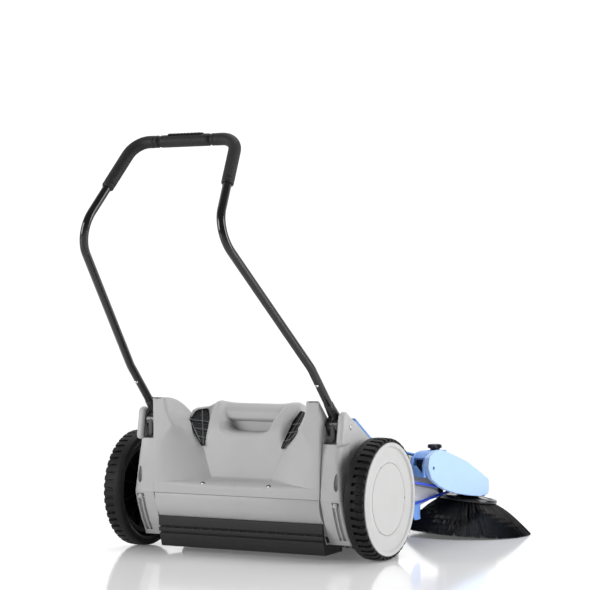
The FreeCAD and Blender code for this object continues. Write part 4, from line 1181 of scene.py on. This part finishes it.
def handle_pieces():
    path = handle_line()
    total = path_length(path)
    corner = sum((Vector(b) - Vector(a)).length for a, b in zip([TUBE_END, LOW_KINK, HIGH_KINK],
                                                                   [LOW_KINK, HIGH_KINK, CORNER]))
    grip_start = corner - 175
    piece("handle_tube", "handle", PAINT, sweep(path, 11.0, 32),
          ["handle_tube_right", "handle_tube_left", "handle_bow"], 40)
    spans = {"right": (grip_start, corner + 34), "middle": (corner + 35.2, total - corner - 35.2),
             "left": (total - corner - 34, total - grip_start)}
    for name, (start, end) in spans.items():
        line = refined(stretch(path, start, end), 1.4)
        length = path_length(line)
        seams = (10.0, 14.0, length - 10.0, length - 14.0) if name != "middle" else (7.0, length - 7.0)
        piece(f"grip_{name}_sleeve", "handle", GRIP,
              sweep(line, grip_profile(length, seams), 28),
              [f"grip_{name}"], 40)
    pad = slab(round_corners([(-50, -8.5), (50, -8.5), (50, 8.5), (-50, 8.5)], 7, 5), "z", 0, 3.6, 1.4, 3)
    pad = moved(pad, (0, CORNER[1], CORNER[2] + 14.6))
    ridges = [block(x - 1.2, x + 1.2, CORNER[1] - 6.5, CORNER[1] + 6.5, CORNER[2] + 17, CORNER[2] + 18.9, 0.6)
              for x in range(-40, 41, 10)]
    piece("grip_top_pad", "handle", GRIP, join(pad, *ridges), ["grip_pad"], 30)
    bolts = []
    for side in (1, -1):
        end, low = Vector((side * TUBE_END[0], *TUBE_END[1:])), Vector((side * LOW_KINK[0], *LOW_KINK[1:]))
        along_tube = (low - end).normalized()
        out = Vector((0, -1, 0)) - along_tube * Vector((0, -1, 0)).dot(along_tube)
        out.normalize()
        centre = low + along_tube * -52 + out * 10.7
        bolts.append(screw_head(tuple(centre), out, 4.2, 2.2))
    piece("handle_bolts", "handle", STEEL, join(*bolts), (), 30)
    for side, name in SIDES:
        turn = on_side(side)
        piece(f"knuckle_{name}_body", "handle", GLOSS_BLACK, turn(knuckle_form()),
              [f"knuckle_{name}"], 34)
        piece(f"release_{name}", f"lever_{name}", LEVER_GREY, turn(lever_form()),
              [f"lock_lever_{name}"], 34)


def knuckle_form():
    """A round joint block with a tapering socket collar round the tube."""
    turn = ring([(250.0, 6.2), (250.0, 22.5), (252.0, 24.6), (284.0, 24.6), (286.0, 22.5), (286.0, 6.2)],
                HANDLE_PIVOT, ACROSS, 64)
    end, low = Vector(TUBE_END), Vector(LOW_KINK)
    up = (low - end).normalized()
    start = end - up * 24
    reach = (end + up * 36 - start).length
    collar = lathe([(0, 0.5), (0, 15.5), (reach * 0.35, 14.6), (reach * 0.7, 12.8), (reach - 3, 12.3),
                    (reach - 1, 12.0),
                    (reach, 11.3), (reach, 10.4)], tuple(start), up, 40)
    web = slab([(-60, 330), (-84, 334), (-98, 372), (-84, 384), (-62, 362)], "x", 262, 272, 2.5, 2)
    return join(turn, collar, web)


def lever_form():
    """The oval release tab, crowned on its rear face, with a finger lip at the foot."""
    outline = []
    for step in range(36):
        turn = 2 * math.pi * step / 36
        outline.append((271.0 + 6.7 * math.cos(turn), 323.0 + 23.4 * math.sin(turn)))
    tab = slab(outline, "y", -97.2, -87.0, 2.4, 3)
    lip = slab(round_corners([(-96.5, 303.5), (-99.0, 305.5), (-97.0, 309.0), (-94, 308)], 1.2, 3), "x",
               266.5, 275.5, 0.8)
    return join(tab, lip)


# ---------------------------------------------------------------- side brush and its arm

TILT = math.radians(7.0)
BRUSH_UP = Vector((math.sin(TILT) * 0.8, math.sin(TILT) * 0.6, math.cos(TILT)))
PLATE_CENTRE = Vector((299.0, 670.0, 98.0))
ARM_OUT = 356.0
BRUSH_PULLEY, WHEEL_PULLEY = 46.0, 59.0
LEVEL_TILT = math.radians(3.5)
BRUSH_REACH = 177.0
GROUND_GAP = 0.9


def on_brush(distance):
    return tuple(PLATE_CENTRE + BRUSH_UP * distance)


def brush_plate_form():
    """Glossy disc with a rolled rim, a raised ring and a stepped hub."""
    profile = [(-6.5, 6.2), (-6.5, 78.0), (-5.6, 81.4), (-3.0, 82.8), (1.5, 83.0), (4.6, 82.0), (6.3, 79.0),
               (6.5, 75.0), (4.6, 72.5), (4.4, 58.0), (6.4, 55.5), (6.4, 36.0), (8.0, 31.0), (11.0, 29.0),
               (11.2, 18.0),
               (11.0, 6.2)]
    plate = ring(profile, tuple(PLATE_CENTRE), BRUSH_UP, 120)
    bumps = []
    for index in range(6):
        foot = Vector(on_brush(4.2)) + Matrix.Rotation(index * math.pi / 3 + 0.3, 3, BRUSH_UP) @ \
            BRUSH_UP.cross(Vector((0, 1, 0))).normalized() * 64
        bumps.append(lathe([(0, 6.0), (1.6, 5.4), (2.2, 4.0), (2.2, 2.4), (0.8, 2.0), (0.8, 0.0)],
                           tuple(foot), BRUSH_UP, 18))
    return join(plate, *bumps)


def strand(path, thick, vertices, faces):
    """One three-sided filament along a short path, tapering at its tip."""
    base = len(vertices)
    for index, point in enumerate(path):
        ahead = (path[min(index + 1, len(path) - 1)] - path[max(index - 1, 0)]).normalized()
        side = ahead.orthogonal().normalized()
        other = ahead.cross(side)
        size = thick * (1.0 if index < len(path) - 1 else 0.55)
        for turn in (0.0, 2.094, 4.189):
            vertices.append(tuple(point + (side * math.cos(turn) + other * math.sin(turn)) * size))
    for index in range(len(path) - 1):
        for k in range(3):
            j = (k + 1) % 3
            faces.append((base + index * 3 + k, base + index * 3 + j, base + index * 3 + 3 + j,
                          base + index * 3 + 3 + k))
    last = base + (len(path) - 1) * 3
    faces.append((last, last + 1, last + 2))


def side_bristle_form(seed):
    """Tufts in three rings under the plate, splayed and bent outwards where they reach the ground."""
    pick = random.Random(seed)
    vertices, faces = [], []
    level_up = Vector((math.sin(LEVEL_TILT) * 0.8, math.sin(LEVEL_TILT) * 0.6, 1.0)).normalized()
    east = BRUSH_UP.cross(Vector((0, 1, 0))).normalized()
    north = BRUSH_UP.cross(east)
    level_east = level_up.cross(Vector((0, 1, 0))).normalized()
    level_north = level_up.cross(level_east)
    for root_radius, tip_radius, tufts, each in ((76.0, 178.0, 58, 36), (66.0, 166.0, 46, 26),
                                                 (54.0, 148.0, 34, 16)):
        for tuft in range(tufts):
            middle = 2 * math.pi * (tuft + 0.5 * (root_radius < 70)) / tufts
            lean = pick.uniform(-0.03, 0.03)
            for _ in range(each):
                turn = middle + pick.gauss(0, 0.9) / tufts
                spread = middle + lean + pick.gauss(0, 2.2) / tufts
                root = PLATE_CENTRE - BRUSH_UP * 6.0 + (east * math.cos(turn) + north * math.sin(turn)) * \
                    (root_radius + pick.uniform(-2.5, 2.5))
                reach = min(tip_radius * (1 + pick.gauss(0, 0.012)) - abs(pick.gauss(0, 2.0)), BRUSH_REACH)
                tip = Vector((299.0, 670.0,
                              7.5)) + (level_east * math.cos(spread) + level_north * math.sin(spread)) * reach
                tip.z = max(GROUND_GAP, tip.z + pick.uniform(-3.0, 2.0))
                path = []
                for step in range(9):
                    t = step / 8
                    point = root.lerp(tip, t)
                    point.z += 9.0 * math.sin(math.pi * t) * (1 - 0.4 * t)
                    point.z = max(GROUND_GAP, point.z)
                    path.append(point)
                strand(path, pick.uniform(0.75, 1.15), vertices, faces)
    return vertices, faces


def bristle_core_form():
    """The dense inner mass of the crown, between the tufts."""
    level = Vector((0.049, 0.037, 1.0)).normalized()
    rows = []
    for t in (step / 24 for step in range(25)):
        radius = mix(70.0, 148.0, t)
        centre = (PLATE_CENTRE - BRUSH_UP * 6.6).lerp(Vector((299.0, 670.0, 12.0)), t)
        up = BRUSH_UP.lerp(level, t).normalized()
        east = up.cross(Vector((0, 1, 0))).normalized()
        north = up.cross(east)
        swell = Vector((0, 0, 3 * math.sin(math.pi * t)))
        rows.append([tuple(centre + (east * math.cos(a) + north * math.sin(a)) * radius + swell)
                     for a in (2 * math.pi * k / 96 for k in range(97))])
    return sheet_form(rows)


def arm_cover_form():
    """The arm's shell, its blue painted lighter for the light falling on it: a crowned outer cheek with a
    rolled rim, and a sloping roof over the brush.
    """
    outline = round_corners([(288.5, 214), (296, 240), (330, 253), (367.5, 256), (420, 246), (544, 213),
                             (640, 175),
                             (691, 154), (691, 111), (630, 110), (567, 117), (470, 131), (400, 146),
                             (361, 159),
                             (309, 182)], 16, 6)
    cheek = slab(outline, "x", ARM_OUT - 4, ARM_OUT, 2.2, 3)
    count = len(outline)
    centre = Vector((sum(p[0] for p in outline) / count, sum(p[1] for p in outline) / count))
    inner = [tuple(Vector(p) + (centre - Vector(p)).normalized() * 3.2) for p in outline]
    near, far = [], []
    for (y, z), (iy, iz) in zip(outline, inner):
        deep = 10.0 if z < 200 and y < 560 else 14.0
        near.append(((ARM_OUT - 2.5, y, z), (ARM_OUT - 2.5, iy, iz)))
        far.append(((ARM_OUT - deep, y, z), (ARM_OUT - deep, iy, iz)))
    vertices = [p for pair in near for p in pair] + [p for pair in far for p in pair]
    faces = []
    for i in range(count):
        j = (i + 1) % count
        a, b, c, d = 2 * i, 2 * j, 2 * count + 2 * i, 2 * count + 2 * j
        faces += [(a, b, d, c), (a + 1, c + 1, d + 1, b + 1), (c, d, d + 1, c + 1)]
    return join(cheek, (vertices, faces))


def arm_roof_form():
    """The roof: narrow along the arm, wide over the brush, rounded down into the front and inner cheeks."""
    rows = []
    for y in (450, 470, 495, 520, 530, 545, 565, 585, 605, 625, 640, 655, 670, 680, 686, 689.5, 691):
        top = along([(450, 238.0), (544, 213.0), (640, 175.0), (680, 158.6), (691, 150.0)], y)
        inner = along([(450, 312.0), (520, 312.0), (545, 246.0), (560, 242.0), (691, 242.0)], y)
        row = []
        for step in range(7):
            turn = math.pi / 2 * step / 6
            row.append((inner + 7 - 7 * math.cos(turn), y, top - 7 + 7 * math.sin(turn) - 0.6))
        row += [(mix(inner + 7, ARM_OUT - 2, t), y, top - 0.6) for t in (0.25, 0.5, 0.75, 1.0)]
        skirt = along([(450, 4.0), (545, 6.0), (566, 40.0), (640, 42.0), (691, 24.0)], y)
        rows.append([(inner, y, top - 7 - skirt)] + row)
    roof = sheet_form(rows)
    front = slab([(242, 126.5), (242, 143), (248, 149.6), (ARM_OUT - 2, 149.6), (ARM_OUT - 2, 114),
                  (300, 118)], "y", 688.0, 691.0, 0.8)
    return roof, front


def yoke_form():
    """The blue carrier on the frame: two cheeks under a humped bridge, with a window between them."""
    hump = round_corners([(290, 186), (289, 218), (300, 238), (324, 250), (352, 253), (378, 252.5),
                          (378, 246), (352, 246),
                          (330, 242), (322, 228), (326, 186)], 7, 5)
    inner = slab(hump, "x", 300.5, 305.8, 1.2, 2)
    outer = slab(hump, "x", 336.2, 342.0, 1.2, 2)
    bridge = slab(round_corners([(304, 237), (326, 249.5), (352, 252.6), (378, 252.2), (378, 246.6),
                                 (352, 246.4),
                                 (330, 243), (310, 232)], 3, 3), "x", 301.0, 341.6, 0.8)
    back = slab(round_corners([(300.5, 187), (300.5, 217), (318, 217), (341.5, 190), (341.5, 187)], 2, 3),
                "y", 290.5,
                295.5, 0.8)
    shelf = block(300.5, 342.0, 370, 434, 246.7, 251.9, 1.6)
    gusset = slab([(378, 247), (420, 247), (378, 236)], "x", 302, 305.5, 0.6)
    return join(inner, outer, bridge, back, shelf, gusset)


def knob_form():
    """A five-lobed knob with a domed top, a neck and its threaded post."""
    x, y, z = KNOB_CENTRE
    rows = []
    levels = [(-4.6, 12.4, 0.0), (-4.2, 13.0, 0.0), (-1.0, 13.0, 0.0), (0.2, 15.0, 0.5), (1.4, 16.6, 1.0),
              (4.0, 17.0, 1.0), (8.0, 16.8, 1.0), (9.9, 15.6, 1.0), (10.9, 13.4, 0.8), (11.0, 8.0, 0.3),
              (10.4, 6.0, 0.0),
              (10.4, 0.01, 0.0)]
    for height, radius, lobes in levels:
        row = []
        for step in range(91):
            turn = 2 * math.pi * step / 90
            size = radius + lobes * 3.2 * math.cos(5 * turn)
            row.append((x + size * math.cos(turn), y + size * math.sin(turn), z + height))
        rows.append(row)
    post = lathe([(240, 0.0), (240, 4.2), (241.5, 5.0), (253, 5.0)], (x, y, 0), UPRIGHT, 28)
    base = lathe([(252.4, 0.01), (252.4, 12.4)], (x, y, 0), UPRIGHT, 90)
    return join(sheet_form(rows), post, base)


def beam_form():
    beam = slab(round_corners([(306, 198), (306, 222), (345, 224), (450, 200), (560, 170), (622, 152),
                               (622, 140),
                               (560, 152), (450, 184), (345, 200)], 5, 3), "x", 318.5, 333.5, 1.5)
    neck = block(290, 333.5, 604, 684, 138, 149, 1.5)
    cup = ring([(33.5, 6.3), (33.5, 12.0), (34.5, 12.5), (50.0, 12.5), (51.0, 11.8), (51.0, 6.3)],
               on_brush(0), BRUSH_UP, 40)
    lid = lathe([(47.6, 0.0), (47.6, 6.3), (51.0, 6.3)], on_brush(0), BRUSH_UP, 40)
    lug = ring([(318.2, 5.2), (318.2, 13.4), (319, 14.0), (333, 14.0), (333.8, 13.4), (333.8, 5.2)],
               ARM_PIVOT,
               ACROSS, 40)
    flange = lathe([(333, 9.0), (ARM_OUT - 4.1, 9.0)], (0, 480, 186), ACROSS, 28)
    return join(beam, neck, cup, lid, lug, flange)


def belt_path():
    """The round belt's line: the back of the wheel's pulley, then a twist round the brush's pulley."""
    axle = Vector((BELT_PLANE, 0.0, AXLE_Z))
    centre = PLATE_CENTRE + BRUSH_UP * 19.0
    side = Vector((0, 1, 0)).cross(BRUSH_UP).normalized()
    outer, inner = centre + side * BRUSH_PULLEY, centre - side * BRUSH_PULLEY
    fall = math.atan2(axle.z + WHEEL_PULLEY - outer.z, outer.y)
    rise = math.atan2(inner.z - axle.z + WHEEL_PULLEY, inner.y)
    path = []
    steps = 40
    start, sweep_angle = math.pi / 2 - fall, math.pi + fall + rise
    for step in range(steps + 1):
        turn = start + sweep_angle * step / steps
        path.append(axle + Vector((0, math.cos(turn), math.sin(turn))) * WHEEL_PULLEY)
    low_end = path[-1]
    path += [low_end.lerp(inner, t / 24) for t in range(1, 24)]
    forward = BRUSH_UP.cross(side).normalized()
    if forward.y < 0:
        forward = -forward
    for step in range(31):
        turn = math.pi * step / 30
        path.append(centre - side * BRUSH_PULLEY * math.cos(turn) + forward * BRUSH_PULLEY * math.sin(turn))
    path += [outer.lerp(path[0], t / 24) for t in range(1, 24)]
    for _ in range(3):
        path = [(path[i - 1] + path[i] * 2 + path[(i + 1) % len(path)]) / 4 for i in range(len(path))]
    return path


def arm_pieces():
    # The cheek, roof and front take the lighter blue copy: painted light.
    cover = piece("arm_cheek", "brush_arm", BLUE_PAINTED_LIT, arm_cover_form(), ["arm_cover"],
                  32)
    carve(cover, lathe([(ARM_OUT - 20, 0.0), (ARM_OUT - 20, 5.3), (ARM_OUT + 5, 5.3), (ARM_OUT + 5, 0.0)],
                       ARM_PIVOT,
                       ACROSS, 32), angle=32)
    roof, front = arm_roof_form()
    top = piece("arm_roof", "brush_arm", BLUE_PAINTED_LIT, roof, (), 40)
    thickness = top.modifiers.new("wall", "SOLIDIFY")
    thickness.thickness = 0.0028
    thickness.offset = -1.0
    settle(top, 40)
    piece("arm_front", "brush_arm", BLUE_PAINTED_LIT, front, (), 30)
    piece("arm_beam_body", "brush_arm", BLACK, beam_form(), ["arm_beam"], 30)
    piece("arm_yoke", "chassis", BLUE, yoke_form(), ["arm_bracket"], 30)
    # Dark navy sheets that fill the yoke's window: painted shade standing in for the shaded hollow between
    # its cheeks.
    web = join(slab([(300, 224), (330, 241), (352, 245), (388, 245), (388, 196), (300, 188)], "x", 303.0,
                    305.0, 0.4, 1),
               slab([(345, 246), (372, 246), (372, 205), (345, 205)], "x", 336.6, 337.6, 0.3, 1))
    piece("yoke_window_painted_shade", "chassis", BLUE_PAINTED_SHADE, web, (), 30)
    # A black plate where the arm casts its shadow on the frame's nose: painted shadow.
    edge = slab(round_corners([(547, 146), (588, 140), (588, 112), (547, 104)], 4, 3), "x", 259.0, 261.0, 0.6)
    piece("painted_shadow_under_arm", "chassis", BLACK, edge, (), 30)
    pin = lathe([(FRAME_OUT - 12, 0.0), (FRAME_OUT - 12, 4.9), (ARM_OUT - 1.9, 4.9), (ARM_OUT - 1.5, 4.4),
                 (ARM_OUT - 1.5, 1.8), (ARM_OUT - 3.5, 1.6), (ARM_OUT - 3.5, 0.0)], ARM_PIVOT, ACROSS, 32)
    piece("arm_pivot_pin", "chassis", DARK_GREY, pin, ["arm_pin"], 30)
    piece("height_knob", "knob", BLACK, knob_form(), ["star_knob"], 34)
    piece("brush_disc", "side_brush", GLOSS_BLACK, brush_plate_form(), ["brush_plate"], 28)
    piece("brush_tufts", "side_brush", BRISTLE, side_bristle_form(7), ["side_bristles"],
          60, False)
    piece("brush_tuft_core", "side_brush", BRISTLE, bristle_core_form(), (), 60)
    piece("brush_belt_wheel", "side_brush", DARK_GREY,
          pulley_form(*on_brush(19.0), BRUSH_PULLEY, 6.0, 12.5, 3.6, BRUSH_UP), ["brush_pulley"], 30)
    piece("wheel_belt_wheel", "wheel_right", DARK_GREY,
          pulley_form(BELT_PLANE, 0, AXLE_Z, WHEEL_PULLEY, 8.2, 13.0, 3.6), ["brush_drive_pulley"], 30)
    belt = piece("drive_belt", None, BELT, sweep(belt_path(), 3.5, 14, True), ["brush_belt"], 60)
    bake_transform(belt)


# ---------------------------------------------------------------- main roller, its belt and the castor

ROLLER_AXIS = Vector((0.0, 165.0, 119.0))


def roller_tuft_form(seed):
    """Chevron rows of bristle tufts round the core."""
    pick = random.Random(seed)
    vertices, faces = [], []
    for row in range(10):
        for step in range(56):
            x = -241 + 482 * (step + 0.5) / 56
            twist = 2 * math.pi * row / 10 + math.radians(42.0 * (1 - abs(x) / 246))
            for _ in range(7):
                turn = twist + pick.gauss(0, 0.035)
                tip_turn = turn + pick.gauss(0, 0.02)
                start = ROLLER_AXIS + Vector((x + pick.uniform(-2, 2), math.sin(turn) * 44,
                                              math.cos(turn) * 44))
                reach = 115.6 + pick.uniform(-2.5, 0.8)
                end = ROLLER_AXIS + Vector((x + pick.gauss(0, 2.2), math.sin(tip_turn) * reach,
                                            math.cos(tip_turn) * reach))
                strand([start, start.lerp(end, 0.5), end], pick.uniform(0.9, 1.3), vertices, faces)
    return vertices, faces


def roller_core_form():
    tube = ring([(-244, 41.0), (-244, 44.0), (-242, 45.0), (242, 45.0), (244, 44.0), (244, 41.0)],
                tuple(ROLLER_AXIS),
                ACROSS, 72)
    cap = ring([(232, 7.2), (232, 41.5), (238, 41.5), (238, 14.0), (241, 12.0), (241, 7.2)],
               tuple(ROLLER_AXIS), ACROSS, 48)
    return join(tube, both(cap))


def flat_belt_form():
    """The roller's flat belt with a slightly crowned back."""
    y1, z1, r1, y2, z2, r2 = 0.0, 155.0, 80.0, 165.0, 119.0, 32.0
    heading = math.atan2(z2 - z1, y2 - y1)
    lean = math.acos((r1 - r2) / math.hypot(y2 - y1, z2 - z1))
    rows = []
    for y, z, r, start, end in ((y1, z1, r1, heading + lean, heading - lean + 2 * math.pi),
                                (y2, z2, r2, heading - lean, heading + lean)):
        for step in range(37):
            turn = mix(start, end, step / 36)
            out = Vector((math.cos(turn), math.sin(turn)))
            row = []
            for x, lift in ((-4.2, 0.4), (4.2, 0.4), (4.2, 2.9), (2.0, 3.3), (-2.0, 3.3), (-4.2, 2.9)):
                row.append((-BELT_PLANE + x, y + out.x * (r + lift), z + out.y * (r + lift)))
            rows.append(row)
    return [p for row in rows for p in row], grid_faces(len(rows), len(rows[0]), True, True)


def castor_pieces():
    stem = lathe([(80, 5.9), (121, 5.9), (123, 4.6), (123, 0.0)], CASTOR_PIVOT, UPRIGHT, 32)
    plate = lathe([(74, 0.0), (74, 19.2), (75, 20.0), (79, 20.0), (80, 19.2), (80, 5.9)], CASTOR_PIVOT,
                  UPRIGHT, 48)
    bridge = block(-16.9, 16.9, 364.2, 400, 72.2, 77.8, 1.0)
    cheek = slab(round_corners([(406, 78), (364, 78), (367, 26), (374, 22), (382, 22), (388, 26)], 5, 4),
                 "x", 13.1, 16.9, 0.8)
    piece("castor_yoke", "castor_swivel", STEEL, join(stem, plate, bridge, both(cheek)),
          ["castor_fork"], 30)
    wheel = ring([(-11, 4.2), (-11, 9), (-8, 10), (-8, 22), (-10, 24), (-10.6, 28), (-8, 31), (-4, 32),
                  (4, 32), (8, 31),
                  (10.6, 28), (10, 24), (8, 22), (8, 10), (11, 9), (11, 4.2)], CASTOR_AXLE, ACROSS, 64)
    piece("castor_roller", "castor_roll", BLACK, wheel, ["castor_wheel"], 30)


def roller_pieces():
    piece("roller_tufts", "main_roller", BRISTLE, roller_tuft_form(11),
          ["roller_bristles"], 60, False)
    piece("roller_tube", "main_roller", DARK_GREY, roller_core_form(), ["roller_core"],
          30)
    piece("roller_belt_wheel", "main_roller", DARK_GREY,
          pulley_form(-BELT_PLANE, *ROLLER_AXIS.yz, 32.0, 7.0, 12.0, 0), ["roller_pulley"], 30)
    piece("wheel_flat_wheel", "wheel_left", DARK_GREY,
          pulley_form(-BELT_PLANE, 0, AXLE_Z, 80.0, 8.2, 12.0, 0), ["roller_drive_pulley"], 30)
    piece("roller_drive_belt", "chassis", RUBBER, flat_belt_form(), ["roller_belt"], 30)


# ---------------------------------------------------------------- main


set_camera()
set_light()
set_floor()
finish_cad_nodes()
hopper_pieces()
vent_pieces()
rear_flap_pieces()
for side, name in SIDES:
    side_frame_pieces(side, name)
    wheel_pieces(side, name)
hood_pieces()
front_frame_pieces()
chassis_details()
handle_pieces()
arm_pieces()
roller_pieces()
castor_pieces()
